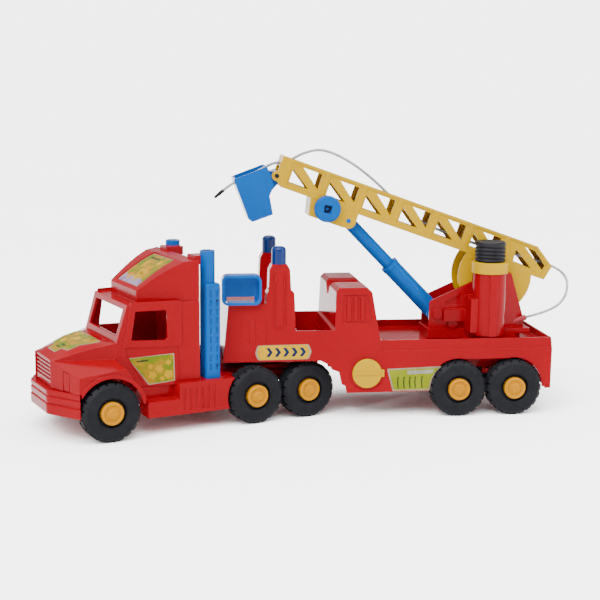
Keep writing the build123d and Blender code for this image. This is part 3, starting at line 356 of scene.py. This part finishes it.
def vinyl_material():
    """Milky see-through vinyl tube."""
    t = Tree("hose_vinyl")
    milk = t.noise(140, 3.0)
    color = t.mix(t.span(milk, 0, 1), (0.13, 0.135, 0.145), (0.19, 0.195, 0.21))
    normal = t.bump(t.noise(300, 2.0), 0.00008, 0.5)
    rough = t.span(milk, 0.16, 0.3)
    return t.set(color=color, rough=rough, normal=normal, coat=0.3, clear=0.25, specular=0.3)


def steel_material():
    """Drawn steel rod with lengthwise scratches."""
    t = Tree("steel")
    lines = t.noise(500, 3.0, stretch=(1.0, 0.05, 1.0))
    color = t.mix(t.span(lines, 0, 1), (0.20, 0.20, 0.21), (0.30, 0.30, 0.31))
    normal = t.bump(lines, 0.00004, 0.5, t.rounded(0.0003))
    return t.set(color=color, rough=t.span(lines, 0.25, 0.4), normal=normal, metal=1.0)


def paper(name, first, second, scale=30):
    """A printed sticker: two inks that drift into each other under a clear film."""
    t = Tree(name)
    ink = t.noise(scale, 3.0, 0.55)
    color = t.mix(t.span(ink, 0, 1, 0.42, 0.58), first, second)
    normal = t.bump(t.noise(400, 2.0), 0.00002, 0.4)
    rough = t.span(t.noise(60, 2.0), 0.22, 0.34)
    return t.set(color=color, rough=rough, normal=normal, specular=GLOSS)


LAMP = lamp_material()
TYRE = tyre_material()
RUBBER = rubber_material()
VINYL = vinyl_material()
STEEL = steel_material()
INK_YELLOW = paper("ink_yellow", (0.2376, 0.1386, 0.00132), (0.198, 0.1122, 0.00132))
INK_BLUE = paper("ink_blue", (0.00198, 0.0066, 0.0231), (0.00264, 0.01056, 0.033))
INK_PALE = paper("ink_pale", (0.106, 0.0766, 0.0515), (0.127, 0.0995, 0.0713))
INK_GREEN = paper("ink_green", (0.0792, 0.0941, 0.00158), (0.1, 0.113, 0.00317))
INK_MIX = paper("ink_mix", (0.0512, 0.0719, 0.00119), (0.137, 0.0752, 0.00158), 60)
INK_ORANGE = paper("ink_orange", (0.188, 0.0729, 0.00119), (0.19, 0.112, 0.00158), 60)
INK_LILAC = paper("ink_lilac", (0.0924, 0.0594, 0.109), (0.12, 0.0944, 0.139), 60)
INK_DARK = paper("ink_dark", (0.0132, 0.0198, 0.00396), (0.0198, 0.0264, 0.0066))
INK_GREY = paper("ink_grey", (0.1056, 0.099, 0.0792), (0.1386, 0.132, 0.1122))

SLOT_MATERIAL = {
    "red_plastic": RED,
    "red_pin": RED,
    "yellow_plastic": YELLOW,
    "blue_plastic": BLUE,
    "lamp_plastic": LAMP,
    "black_plastic": BLACK,
    "bellows_rubber": RUBBER,
    "tyre": TYRE,
    "hose_vinyl": VINYL,
    "steel": STEEL,
}

for part in frame["record"]["subparts"]:
    chosen = SLOT_MATERIAL[part["material_slot"]]
    if part["node"].endswith("_caps"):
        chosen = CAP
    if part["node"] == "hose_spigot":
        chosen = SPIGOT
    # Painted shade: the basket pin gets black plastic, standing in for the dark hole around it.
    if part["node"] == "basket_pin":
        chosen = BLACK
    for material_slot in nodes[part["node"]].material_slots:
        material_slot.material = chosen


# ------------------------------------------------------------------ hose

HOSE_DIAMETER = 0.0038
HOSE_SIDES = 14


def route(points):
    """The smooth line that a piece of hose follows: a NURBS spline with the points as its controls."""
    data = bpy.data.curves.new("route", "CURVE")
    data.dimensions = "3D"
    data.resolution_u = 10
    spline = data.splines.new("NURBS")
    spline.points.add(len(points) - 1)
    for target, point in zip(spline.points, points):
        target.co = (*point, 1)
    spline.order_u = 3
    spline.use_endpoint_u = True
    obj = bpy.data.objects.new("route", data)
    line = bpy.data.meshes.new_from_object(obj)
    found = [vertex.co.copy() for vertex in line.vertices]
    bpy.data.objects.remove(obj)
    return found


def join_rings(work, rings):
    """Smooth faces between rings of as many vertices; a ring of one vertex closes to a point."""
    for low, high in zip(rings, rings[1:]):
        count = max(len(low), len(high))
        for side in range(count):
            after = (side + 1) % count
            if len(low) == 1:
                face = (low[0], high[after], high[side])
            elif len(high) == 1:
                face = (low[side], low[after], high[0])
            else:
                face = (low[side], low[after], high[after], high[side])
            work.faces.new(face).smooth = True


def fill_tube(work, line):
    """A round tube along a line, with flat ends."""
    radius = HOSE_DIAMETER / 2
    turns = [math.tau * side / HOSE_SIDES for side in range(HOSE_SIDES)]
    rings = []
    across = (line[1] - line[0]).orthogonal().normalized()
    for index, point in enumerate(line):
        ahead = (line[min(index + 1, len(line) - 1)] - line[max(index - 1, 0)]).normalized()
        across = (across - ahead * across.dot(ahead)).normalized()
        other = ahead.cross(across)
        ring = [point + radius * (across * math.cos(t) + other * math.sin(t)) for t in turns]
        rings.append([work.verts.new(spot) for spot in ring])
    join_rings(work, rings)
    work.faces.new(list(reversed(rings[0])))
    work.faces.new(rings[-1])


def new_piece(name, filler, material):
    """An object from a bmesh that filler fills."""
    mesh = bpy.data.meshes.new(name)
    work = bmesh.new()
    filler(work)
    bmesh.ops.recalc_face_normals(work, faces=work.faces)
    work.to_mesh(mesh)
    work.free()
    obj = bpy.data.objects.new(name, mesh)
    bpy.context.collection.objects.link(obj)
    mesh.materials.append(material)
    return obj


def hose(name, points, node, bodies, bend):
    """A piece of the hose along its route. Between two bodies it is left in place on its own; on one
    body it rides on that body.
    """
    line = route(points)
    obj = new_piece(name, lambda work: fill_tube(work, line), VINYL)
    if len(bodies) == 2:
        tuple(bend[0])
        tuple(bend[1])
        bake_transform(obj)
    else:
        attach(obj, bodies[0])
    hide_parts(node)
    tuple(points[0])
    [tuple(point) for point in line]


TAIL = [mm(-389, 32, 129.4), mm(-419, 32, 135.8), mm(-448, 25, 150), mm(-459, 12, 177)]
TAIL += [boom(-96, 0, 57), boom(-76, 0, 57)]
MAIN = [(-76, 0, 57), (-36, 0, 57), (20, 4, 51), (75, -4, 50), (130, 3, 54), (172, 0, 70)]
MAIN += [(215, 0, 89), (255, 0, 101), (295, 0, 104), (318, 0, 90), (332, 0, 74.4), (337.5, 0, 71.2)]
MAIN = [boom(*point) for point in MAIN]
TIP = [boom(337.5, 0, 71.2), boom(343, 0, 68), boom(355, 0, 61), cage(10, 0, 15), cage(27, 7, 13)]
TIP += [cage(43, 17, 12.4), cage(57, 19.5, 12), cage(68, 19.5, 9.4), cage(76, 19.5, 6.5)]
TAIL_BEND = (TAIL[0], TAIL[-1])
TIP_BEND = (TIP[0], TIP[4])

hose("hose_tail_tube", TAIL, "hose_tail", ("turret", "boom"), TAIL_BEND)
hose("hose_main_tube", MAIN, "hose_main", ("boom",), None)
hose("hose_tip_tube", TIP, "hose_tip", ("boom", "basket"), TIP_BEND)


# ------------------------------------------------------------------ stickers

# How far a sticker's foot stands off the surface below it, so that the two don't flicker.
FLAT_GAP = 0.12
CURVED_GAP = 0.15
# How high the printed layers reach above that foot.
PLATE_BORDER, PLATE_FIELD, PLATE_MARK = 0.15, 0.25, 0.32
LABEL_BORDER, LABEL_FIELD, LABEL_FRONT, LABEL_MARK = 0.12, 0.2, 0.23, 0.26


def riding_piece(name, filler, material, body):
    """A piece that rides on a body, with the material it is given."""
    obj = new_piece(name, filler, material)
    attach(obj, body)
    return obj


def cut_to_cells(work, outline, step):
    """Cuts a flat face along both axes, so that it can lie on a curved surface."""
    for axis, normal in ((0, (1, 0, 0)), (1, (0, 1, 0))):
        low, high = min(p[axis] for p in outline), max(p[axis] for p in outline)
        for index in range(1, int((high - low) / step) + 1):
            cut = [low + step * index if axis == k else 0 for k in range(3)]
            everything = work.verts[:] + work.edges[:] + work.faces[:]
            bmesh.ops.bisect_plane(work, geom=everything, plane_co=cut, plane_no=normal)


def thicken(work):
    """Gives a flat face or its cells a second layer at height 1, and walls round their rim."""
    cells, rim = list(work.faces), [edge for edge in work.edges if edge.is_boundary]
    above = {vertex: work.verts.new((vertex.co.x, vertex.co.y, 1)) for vertex in list(work.verts)}
    for cell in cells:
        work.faces.new([above[vertex] for vertex in cell.verts])
    for edge in rim:
        first, second = edge.verts
        work.faces.new((first, second, above[second], above[first]))


def patch(name, outline, place, top, material, body, grid=None):
    """A thin piece with a 2-D outline that reaches up to a height; place turns
    (a, b, height) into a point. With a grid step it is cut into cells."""

    def fill(work):
        work.faces.new([work.verts.new((a, b, 0)) for a, b in outline])
        if grid:
            cut_to_cells(work, outline, grid)
        thicken(work)
        for vertex in work.verts:
            vertex.co = place(vertex.co.x, vertex.co.y, top * vertex.co.z)

    return riding_piece(name, fill, material, body)


def rounded_outline(points, radius, steps=5):
    """A polygon with its corners rounded."""
    result = []
    for index, point in enumerate(points):
        corner = Vector(point)
        before = (Vector(points[index - 1]) - corner).normalized()
        after = (Vector(points[(index + 1) % len(points)]) - corner).normalized()
        first, last = corner + before * radius, corner + after * radius
        for step in range(steps + 1):
            f = step / steps
            result.append(tuple((1 - f) ** 2 * first + 2 * f * (1 - f) * corner + f * f * last))
    return result


def shrink(points, amount):
    """A polygon drawn in towards its middle by an amount."""
    middle = sum((Vector(p) for p in points), Vector((0, 0))) / len(points)
    result = []
    for point in points:
        away = Vector(point) - middle
        result.append(tuple(middle + away * max(0.0, 1 - amount / max(away.length, 1e-6))))
    return result


def blob(x, y, radius, lobes=5, swell=0.22, turn=0.0, count=30):
    """A soft flower-like outline, or a circle when swell is 0."""
    result = []
    for index in range(count):
        t = math.tau * index / count
        r = radius * (1 + swell * math.cos(lobes * t + turn))
        result.append((x + r * math.cos(t), y + r * math.sin(t)))
    return result


# Half the trailer's width at the ground line, and how much its sides lean in per millimetre of height.
FLANK_FOOT = 86
FLANK_LEAN = 0.085


def on_flank(x, z, height, side=1):
    """A point on the trailer's leaning side, the left one or, with side -1, the right one."""
    return mm(x, side * (FLANK_FOOT - FLANK_LEAN * z + FLAT_GAP + height), z)


def on_right_flank(x, z, height):
    return on_flank(x, z, height, -1)


PLATE = [(3.7, 104.9), (-67.0, 105.4), (-70.8, 95), (-67.0, 84.7), (3.4, 84.3), (7.2, 94)]
CHEVRON = [(0, 6), (-4.6, 6), (-9, 0), (-4.6, -6), (0, -6), (-4.4, 0)]
CHEVRON_PITCH = 11.5
PLATE_MIDDLE = (-31.8, 95)


def plate_piece(name, outline, place, top, ink):
    patch(name, outline, place, top, ink, "trailer")


for end, place, turn in (("", on_flank, 1), ("_right", on_right_flank, -1)):
    border, field = rounded_outline(PLATE, 3), rounded_outline(shrink(PLATE, 2.4), 2.6)
    plate_piece("plate_border" + end, border, place, PLATE_BORDER, INK_PALE)
    plate_piece("plate_field" + end, field, place, PLATE_FIELD, INK_YELLOW)
    for index in range(5):
        tip = PLATE_MIDDLE[0] + turn * (23.8 - index * CHEVRON_PITCH)
        mark = [(tip + turn * a, PLATE_MIDDLE[1] + b) for a, b in CHEVRON]
        name = "plate_mark_%d%s" % (index, end)
        plate_piece(name, mark, place, PLATE_MARK, INK_BLUE)

STRIPE = [(-176.5, 68.8), (-254.4, 71.0), (-246.0, 63), (-240.6, 53), (-238.2, 44)]
STRIPE += [(-237.6, 37.4), (-184.3, 37.4)]
STRIPE_FIELD = [(-179.4, 66.6), (-249.4, 68.6), (-243.2, 61), (-238.4, 52), (-236.2, 44)]
STRIPE_FIELD += [(-235.8, 39.6), (-186.4, 39.6)]
STROKE = [(-0.9, 57.4), (0.9, 57.4), (1.7, 50), (0.9, 41), (-0.9, 41), (-0.1, 50)]
STROKES_X = (-192.3, -200.8, -209.2, -216.8, -226.4)
STRIPE_BAR = [(-205, 65.6), (-244, 66.6), (-240.5, 61.4), (-205, 60.6)]

border, field = rounded_outline(STRIPE, 1.6), rounded_outline(STRIPE_FIELD, 1.2)
plate_piece("stripe_border", border, on_flank, PLATE_BORDER, INK_PALE)
plate_piece("stripe_field", field, on_flank, PLATE_FIELD, INK_GREEN)
for index, x in enumerate(STROKES_X):
    stroke = [(x + a, b) for a, b in STROKE]
    name = "stripe_stroke_%d" % index
    plate_piece(name, stroke, on_flank, PLATE_MARK, INK_DARK)
bar = rounded_outline(STRIPE_BAR, 1)
plate_piece("stripe_bar", bar, on_flank, PLATE_MARK, INK_GREY)


# Rows across the bonnet, backwards along X: X, half width, height of its edge, rise to its crown.
CROWN = [(306.4, 35.6, 102.8, 0.6), (294, 39.6, 106.8, 4), (280, 44, 111.2, 6.2)]
CROWN += [(268, 47.6, 114.9, 7), (252, 52.4, 118.4, 6), (229.5, 59.4, 123.4, 1.6)]
# The crown rises steeply over its outer band, then gently up to its flat top.
CROWN_BAND, CROWN_BAND_SHARE, CROWN_RAMP = 9, 0.62, 11
# The roof deflector's profile: X and height.
VISOR = [(195.2, 188.4), (188, 194), (178.2, 201), (166, 209.4), (152, 217.7), (136, 225.3)]
VISOR += [(117, 227.6)]
VISOR_SINK = 1.6
# The cab's sides: half width at an X, and how much they flare over a length backwards.
CAB_SIDE_X, CAB_SIDE_HALF, CAB_FLARE, CAB_FLARE_LENGTH = 228, 60, 14, 111


def between(rows, x):
    """The row for x, worked out between the two rows on its sides; rows run backwards along X."""
    for front, back in zip(rows, rows[1:]):
        if x >= back[0] or back is rows[-1]:
            f = (front[0] - x) / (front[0] - back[0])
            return [a + (b - a) * f for a, b in zip(front, back)]


def on_bonnet(x, y, height):
    """A point on the bonnet's crowned top."""
    _, half, z, rise = between(CROWN, x)
    inward = max(0.0, half - abs(y))
    if inward < CROWN_BAND:
        lift = CROWN_BAND_SHARE * inward / CROWN_BAND
    else:
        ramp = (1 - CROWN_BAND_SHARE) * (inward - CROWN_BAND) / CROWN_RAMP
        lift = min(1.0, CROWN_BAND_SHARE + ramp)
    return cab(x, y, z + rise * lift + CURVED_GAP + height)


def on_visor(x, y, height):
    """A point on the sunk panel of the roof deflector."""
    return cab(x, y, between(VISOR, x)[1] - VISOR_SINK + CURVED_GAP + height)


def on_door(x, z, height, side=1):
    """A point on the cab's left side or, with side -1, its right one."""
    half = CAB_SIDE_HALF + (CAB_SIDE_X - x) * CAB_FLARE / CAB_FLARE_LENGTH
    return cab(x, side * (half + FLAT_GAP + height), z)


def on_right_door(x, z, height):
    return on_door(x, z, height, -1)


def label(name, outline, place, margin, blots, bars, grid=None):
    """A printed label: pale border, mottled green field, flower-like blots and dark bars."""

    def layer(suffix, shape, top, ink):
        patch(name + suffix, shape, place, top, ink, "tractor", grid)

    layer("_border", rounded_outline(outline, 1.6), LABEL_BORDER, INK_PALE)
    layer("_field", rounded_outline(shrink(outline, margin), 1.2), LABEL_FIELD, INK_MIX)
    for index, (a, b, radius, lobes) in enumerate(blots):
        ink = (INK_ORANGE, INK_YELLOW)[index % 2]
        layer("_blot_%d" % index, blob(a, b, radius, lobes, turn=index), LABEL_MARK, ink)
    for index, bar in enumerate(bars):
        shape = rounded_outline(bar, 0.6)
        layer("_bar_%d" % index, shape, LABEL_MARK, INK_DARK)


# Blots are X, Y or height, radius and number of lobes.
HOOD = [(296, -15), (296, 15), (288, 17), (284, 32), (268, 35), (253, 41), (243, 42)]
HOOD += [(243, -42), (253, -41), (268, -35), (284, -32), (288, -17)]
HOOD_BLOTS = [(256, 24, 6.5, 5), (263, 4, 8, 6), (252, -18, 7, 5), (275, -12, 5, 7), (272, 20, 4.5, 5)]
HOOD_BARS = [[(283, 2), (283, 13), (280, 14), (280, 1)]]
HOOD_BARS += [[(288, -6), (288, 8), (285.5, 9), (285.5, -7)]]
label("hood_label", HOOD, on_bonnet, 1.8, HOOD_BLOTS, HOOD_BARS, 4)

ROOF = [(190.5, -36), (190.5, 36), (136.5, 36), (136.5, -36)]
ROOF_BLOTS = [(170, 6, 13, 7), (170, 6, 6, 5), (156, -14, 7, 5), (150, 16, 5, 6), (178, -16, 6, 5)]
ROOF_BARS = [[(146, -26), (146, 4), (142.5, 5), (142.5, -26)]]
ROOF_FRONT = [(188.8, -34), (188.8, 34), (181, 33), (178, 20), (180, 4), (176.5, -12)]
ROOF_FRONT += [(179, -26), (177, -34)]
label("roof_label", ROOF, on_visor, 1.8, ROOF_BLOTS, ROOF_BARS, 6)
front = rounded_outline(ROOF_FRONT, 1.5)
patch("roof_label_front", front, on_visor, LABEL_FRONT, INK_LILAC, "tractor", 6)

DOOR = [(213.8, 102.8), (152, 105.7), (151, 68.5), (186.6, 65.2), (197.7, 80.9)]
DOOR_BLOTS = [(172, 86, 5, 6), (160, 78, 5.5, 5), (181, 78, 5, 5)]
DOOR_BLOTS += [(160, 94, 3.6, 6), (184, 90, 3.4, 5), (168, 72.5, 3, 6)]
DOOR_BARS = [[(203, 98.8), (186, 99.6), (187, 97.2), (202, 96.6)]]
label("door_label", DOOR, on_door, 1.7, DOOR_BLOTS, DOOR_BARS)
label("door_label_right", DOOR, on_right_door, 1.7, DOOR_BLOTS, DOOR_BARS)


# ------------------------------------------------------------------ raised lines and rings

BEAD_SECTION = [(-0.5, 0.0), (-0.42, 0.55), (-0.2, 0.95), (0.2, 0.95), (0.42, 0.55), (0.5, 0.0)]
# Where two legs of a line meet sharply, its width isn't stretched past this.
BEAD_MIN_COS = 0.4


def bead_side(points, index, closed):
    """The sideways direction of a line at one of its points, longer at a corner."""
    here = Vector(points[index])
    back = Vector(points[index - 1]) if index or closed else here
    has_next = index < len(points) - 1 or closed
    ahead = Vector(points[(index + 1) % len(points)]) if has_next else here
    arriving = (here - back).normalized() if here != back else (ahead - here).normalized()
    leaving = (ahead - here).normalized() if here != ahead else arriving
    side = (arriving + leaving).normalized().orthogonal()
    return side, 1 / max(BEAD_MIN_COS, abs(side.dot(arriving.orthogonal())))


def bead(name, points, place, width, rise, body, material=RED, closed=False):
    """A raised moulding line with a domed section along points of a surface."""

    def fill(work):
        rows = []
        for index, point in enumerate(points):
            side, stretch = bead_side(points, index, closed)
            row = []
            for across, up in BEAD_SECTION:
                spot = Vector(point) + side * (across * width * stretch)
                row.append(work.verts.new(place(*spot, up * rise)))
            rows.append(row)
        pairs = list(zip(rows, rows[1:])) + ([(rows[-1], rows[0])] if closed else [])
        for first, second in pairs:
            for k in range(len(BEAD_SECTION)):
                m = (k + 1) % len(BEAD_SECTION)
                work.faces.new((first[k], first[m], second[m], second[k]))
        if not closed:
            work.faces.new(rows[0])
            work.faces.new(list(reversed(rows[-1])))

    riding_piece(name, fill, material, body)


def lifted(place, lift):
    """The same surface, moved outwards by a lift."""
    return lambda a, b, height: place(a, b, height + lift)


DOOR_LINE = [(146, 114), (145.6, 90), (145.6, 69)]
DOOR_LINE_FRONT = [(214.5, 113), (214.5, 106), (204, 86.5), (192, 66)]
for end, place in (("", on_door), ("_right", on_right_door)):
    bead("door_line" + end, DOOR_LINE, place, 1.6, 0.7, "tractor")
    bead("door_line_front" + end, DOOR_LINE_FRONT, place, 1.3, 0.6, "tractor")

LOUVRES_X = (-123.0, -132.5, -142.0)
TOWER_RIDGES_X = (-20.9, -33.1)
NOSE_LINES_X = (14.5, 6.5, -8.5)
for end, flank in (("", on_flank), ("_right", on_right_flank)):
    for index, x in enumerate(LOUVRES_X):
        louvre = [(x, 136.5), (x, 152), (x - 0.3, 168.5)]
        name = "cradle_louvre_%d%s" % (index, end)
        bead(name, louvre, lifted(flank, -1.2), 6.4, 2.0, "trailer")
    for index, x in enumerate(TOWER_RIDGES_X):
        ridge = [(x, 131), (x, 170), (x, 203)]
        bead("tower_ridge_%d%s" % (index, end), ridge, lifted(flank, 1.3), 1.8, 0.9, "trailer")
    for index, x in enumerate(NOSE_LINES_X):
        line = [(x, 108.5), (x, 125), (x, 140)]
        bead("nose_line_%d%s" % (index, end), line, flank, 1.2, 0.35, "trailer")

CAP_DOME = 9.8
# Rings on a hub cap: name, radius, and height above the cap's seat.
CAP_RINGS = (("outer", 9.2, 7.5), ("inner", 4.0, 9.3))
TYRE_RADIUS = 39
AXLES = {
    "front_axle": 245.3,
    "drive_axle_1": 38.6,
    "drive_axle_2": -41.5,
    "trailer_axle_1": -278.5,
    "trailer_axle_2": -358.9,
}
cap_seat = left_face("trailer_axle_1_caps") - CAP_DOME


def cap_face(axle, side, lift):
    """Where a hub cap's face is: a place function for rings about the axle."""
    base = mm if axle.startswith("trailer") else cab

    def place(a, b, height):
        return base(AXLES[axle] + a, side * (cap_seat + lift + height), TYRE_RADIUS + b)

    return place


for axle in AXLES:
    for side, end in ((1, "left"), (-1, "right")):
        for ring, radius, lift in CAP_RINGS:
            circle = blob(0, 0, radius, swell=0.0, count=36)
            name = "%s_%s_ring_%s" % (axle, end, ring)
            place = cap_face(axle, side, lift)
            bead(name, circle, place, 1.3, 0.7, axle, CAP, closed=True)


# ------------------------------------------------------------------ bumper, headlamps, exhaust guard

# Rows up the bumper: how far its faces are drawn in, and the height. Two grooves part three bands.
BUMPER_ROWS = [(2.6, 33.5), (1.0, 34.3), (0.3, 36), (0, 46.5), (0.5, 47.6), (1.9, 48.2), (1.9, 49.4)]
BUMPER_ROWS += [(0.6, 50.2), (0.3, 57), (1.0, 57.8), (2.0, 58.4), (2.0, 59.6), (0.7, 60.4)]
BUMPER_ROWS += [(0.5, 65.2), (1.6, 66.5)]


def bumper_plan(inset):
    """The bumper's plan, drawn inwards from its outer faces by an inset."""
    left = [(315 - inset, 33.5), (314.2 - inset, 36.4), (312.6 - 0.9 * inset, 39.8 - 0.4 * inset)]
    left += [(287.5 - 0.58 * inset, 85 - inset), (286, 85 - inset), (286, 58), (276, 56)]
    return left + [(x, -y) for x, y in reversed(left)]


def fill_bumper(work):
    rows = []
    for inset, z in BUMPER_ROWS:
        rows.append([work.verts.new(cab(x, y, z)) for x, y in bumper_plan(inset)])
    for low, high in zip(rows, rows[1:]):
        for k in range(len(low)):
            m = (k + 1) % len(low)
            work.faces.new((low[k], low[m], high[m], high[k]))
    work.faces.new(list(reversed(rows[0])))
    work.faces.new(rows[-1])


bumper = riding_piece("bumper_shell", fill_bumper, RED, "tractor")
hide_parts("front_bumper")

LAMP_MIDDLE = (296.5, 62, 77.5)
LAMP_OUT = (0.925, 0.381)
LAMP_SINK = 2.55
LAMP_OUTLINE = [(-6, -10.8), (6, -10.8), (6, 15.4), (-6, 15.4)]


def on_lamp(side):
    """Where a sunk headlamp's floor is: a place function with a across it and b up from its middle."""

    def place(a, b, height):
        x = LAMP_MIDDLE[0] - LAMP_OUT[1] * a + LAMP_OUT[0] * (height - LAMP_SINK)
        y = LAMP_MIDDLE[1] + LAMP_OUT[0] * a + LAMP_OUT[1] * (height - LAMP_SINK)
        return cab(x, side * y, LAMP_MIDDLE[2] + b)

    return place


for side, name in ((1, "left"), (-1, "right")):
    frame_edge = rounded_outline(LAMP_OUTLINE, 2.6)
    lens_edge = shrink(frame_edge, 1.6)
    patch("headlamp_" + name, frame_edge, on_lamp(side), 1.7, RED, "tractor")
    patch("headlamp_lens_" + name, lens_edge, on_lamp(side), 2.4, RED, "tractor")

GUARD_FACE = 75.05


def on_guard(x, z, height):
    """A point on the outer face of the left exhaust guard."""
    return cab(x, GUARD_FACE + height, z)


# Painted shade: two black discs on the guard's face stand in for its two round holes.
for index, (x, z) in enumerate(((92.5, 172), (92.5, 84))):
    dot = blob(x, z, 1.5, swell=0.0)
    patch("guard_hole_shade_%d" % index, dot, on_guard, 0.15, BLACK, "tractor")


# ------------------------------------------------------------------ pump bellows and winch socket

PUMP = (-328, 48)
COLLAR_TOP = 213.6
BELLOWS_SIDES = 56
RIBS, RIB_PITCH, RIB_FOOT, RIB_SWELL, RIB_STEPS = 4, 5.2, 19.2, 2.6, 8
# The cap above the ribs, from its rim to the dent in its middle: radius and height.
BELLOWS_CAP = [(19.6, 21.2), (21.1, 22.0), (21.4, 23.0), (21.4, 26.2), (21.0, 27.4), (20.0, 28.2)]
BELLOWS_CAP += [(18.4, 28.5), (15.0, 28.4), (14.2, 28.0), (12.0, 27.9), (8.0, 28.6), (0, 28.9)]


def bellows_section():
    """Half section of the bellows from its foot to the middle of its cap: radius and height."""
    section = [(0, 0), (RIB_FOOT, 0)]
    for index in range(RIBS):
        for step in range(1, RIB_STEPS + 1):
            t = step / RIB_STEPS
            swell = math.sin(math.pi * t) ** 0.6
            section.append((RIB_FOOT + RIB_SWELL * swell, RIB_PITCH * (index + t)))
    return section + BELLOWS_CAP


def fill_bellows(work):
    turns = [math.tau * side / BELLOWS_SIDES for side in range(BELLOWS_SIDES)]
    rings = []
    for radius, height in bellows_section():
        ring = []
        for t in turns if radius else (0.0,):
            x, y = PUMP[0] + radius * math.cos(t), PUMP[1] + radius * math.sin(t)
            ring.append(work.verts.new(mm(x, y, COLLAR_TOP + height)))
        rings.append(ring)
    join_rings(work, rings)


bellows = riding_piece("bellows_skin", fill_bellows, RUBBER, "turret")
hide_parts("pump_bellows")
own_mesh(bellows)

KNOB_MIDDLE = (264, 28)
KNOB_TURN = math.radians(6)
SOCKET_DEPTH = 7
SOCKET_GAP = 0.1
socket_floor = left_face("winch_knob") - SOCKET_DEPTH + SOCKET_GAP


def on_knob(a, b, height):
    """A point on the floor of the knob's square socket: a and b from its middle."""
    c, s = math.cos(KNOB_TURN), math.sin(KNOB_TURN)
    u, v = KNOB_MIDDLE[0] + a * c - b * s, KNOB_MIDDLE[1] + a * s + b * c
    return boom(u, socket_floor + height, v)


# Painted shade: a black patch on the socket's floor stands in for its dark recess, and a small blue
# square mark sits on it.
for name, half, top, material in (("socket_shade", 4.9, 0.2, BLACK), ("socket_mark", 2.0, 0.9, BLUE)):
    square = rounded_outline([(-half, -half), (half, -half), (half, half), (-half, half)], 0.8)
    patch(name, square, on_knob, top, material, "winch")


# ------------------------------------------------------------------ floor and light

FLOOR_HALF = 12
FLOOR_PALE = (0.91, 0.91, 0.91)
FLOOR_PALER = (0.93, 0.93, 0.93)
SKY_STRENGTH = 5.4
# The sky from the horizon, at 0.5, to the zenith, at 1: its bright rim meets the floor, and the
# dark band above it keeps grazing reflections off the coloured tops.
SKY_STOPS = [(0.535, 0.88), (0.555, 0.14), (0.70, 0.14), (0.90, 0.7)]

floor_mesh = bpy.data.meshes.new("floor")
work = bmesh.new()
bmesh.ops.create_grid(work, x_segments=2, y_segments=2, size=FLOOR_HALF)
work.to_mesh(floor_mesh)
work.free()
floor = bpy.data.objects.new("floor", floor_mesh)
bpy.context.collection.objects.link(floor)
floor_tree = Tree("floor")
pale = floor_tree.mix(floor_tree.span(floor_tree.noise(0.8, 2.0), 0, 1), FLOOR_PALE, FLOOR_PALER)
floor_mesh.materials.append(floor_tree.set(color=pale, rough=0.8, specular=0.0))

world = bpy.data.worlds.new("world")
world.use_nodes = True
sky = world.node_tree
where = sky.nodes.new("ShaderNodeTexCoord")
parts = sky.nodes.new("ShaderNodeSeparateXYZ")
sky.links.new(where.outputs["Generated"], parts.inputs[0])
halved = sky.nodes.new("ShaderNodeMath")
halved.operation = "MULTIPLY_ADD"
sky.links.new(parts.outputs["Z"], halved.inputs[0])
halved.inputs[1].default_value = 0.5
halved.inputs[2].default_value = 0.5
ramp = sky.nodes.new("ShaderNodeValToRGB")
while len(ramp.color_ramp.elements) < len(SKY_STOPS):
    ramp.color_ramp.elements.new(0.5)
for stop, (height, level) in zip(ramp.color_ramp.elements, SKY_STOPS):
    stop.position = height
    stop.color = (level, level, level, 1)
sky.links.new(halved.outputs[0], ramp.inputs["Fac"])
sky.links.new(ramp.outputs["Color"], sky.nodes["Background"].inputs["Color"])
sky.nodes["Background"].inputs["Strength"].default_value = SKY_STRENGTH
bpy.context.scene.world = world


def light(name, kind, place, target, power, spread):
    """A soft lamp: a sun with an apparent angle, or a square panel with a side length."""
    data = bpy.data.lights.new(name, kind)
    data.energy = power
    if kind == "SUN":
        data.angle = spread
    else:
        data.size = spread
    obj = bpy.data.objects.new(name, data)
    bpy.context.collection.objects.link(obj)
    obj.location = place
    obj.rotation_euler = (Vector(target) - Vector(place)).to_track_quat("-Z", "Y").to_euler()
    return data


# Upright strips beside the lorry, for narrow highlights on its rounded parts.
STRIP_POWER, STRIP_WIDTH, STRIP_HEIGHT, STRIP_Z = 14, 0.05, 1.0, 0.62

light("sun", "SUN", (0.5, 1.1, 2.2), (0, 0, 0), 7.8, math.radians(60))
light("glint", "SUN", (0.9, 1.1, 1.5), (0, 0, 0), 1.2, math.radians(5))
light("rim", "AREA", (-1.4, 1.2, 1.6), (-0.1, 0, 0.15), 7, 0.2)
for name, x, y in (("strip_front", 1.25, 0.95), ("strip_rear", -1.3, 0.8)):
    target = (x * 0.1, 0, 0.3)
    strip = light(name, "AREA", (x, y, STRIP_Z), target, STRIP_POWER, STRIP_WIDTH)
    strip.shape = "RECTANGLE"
    strip.size_y = STRIP_HEIGHT
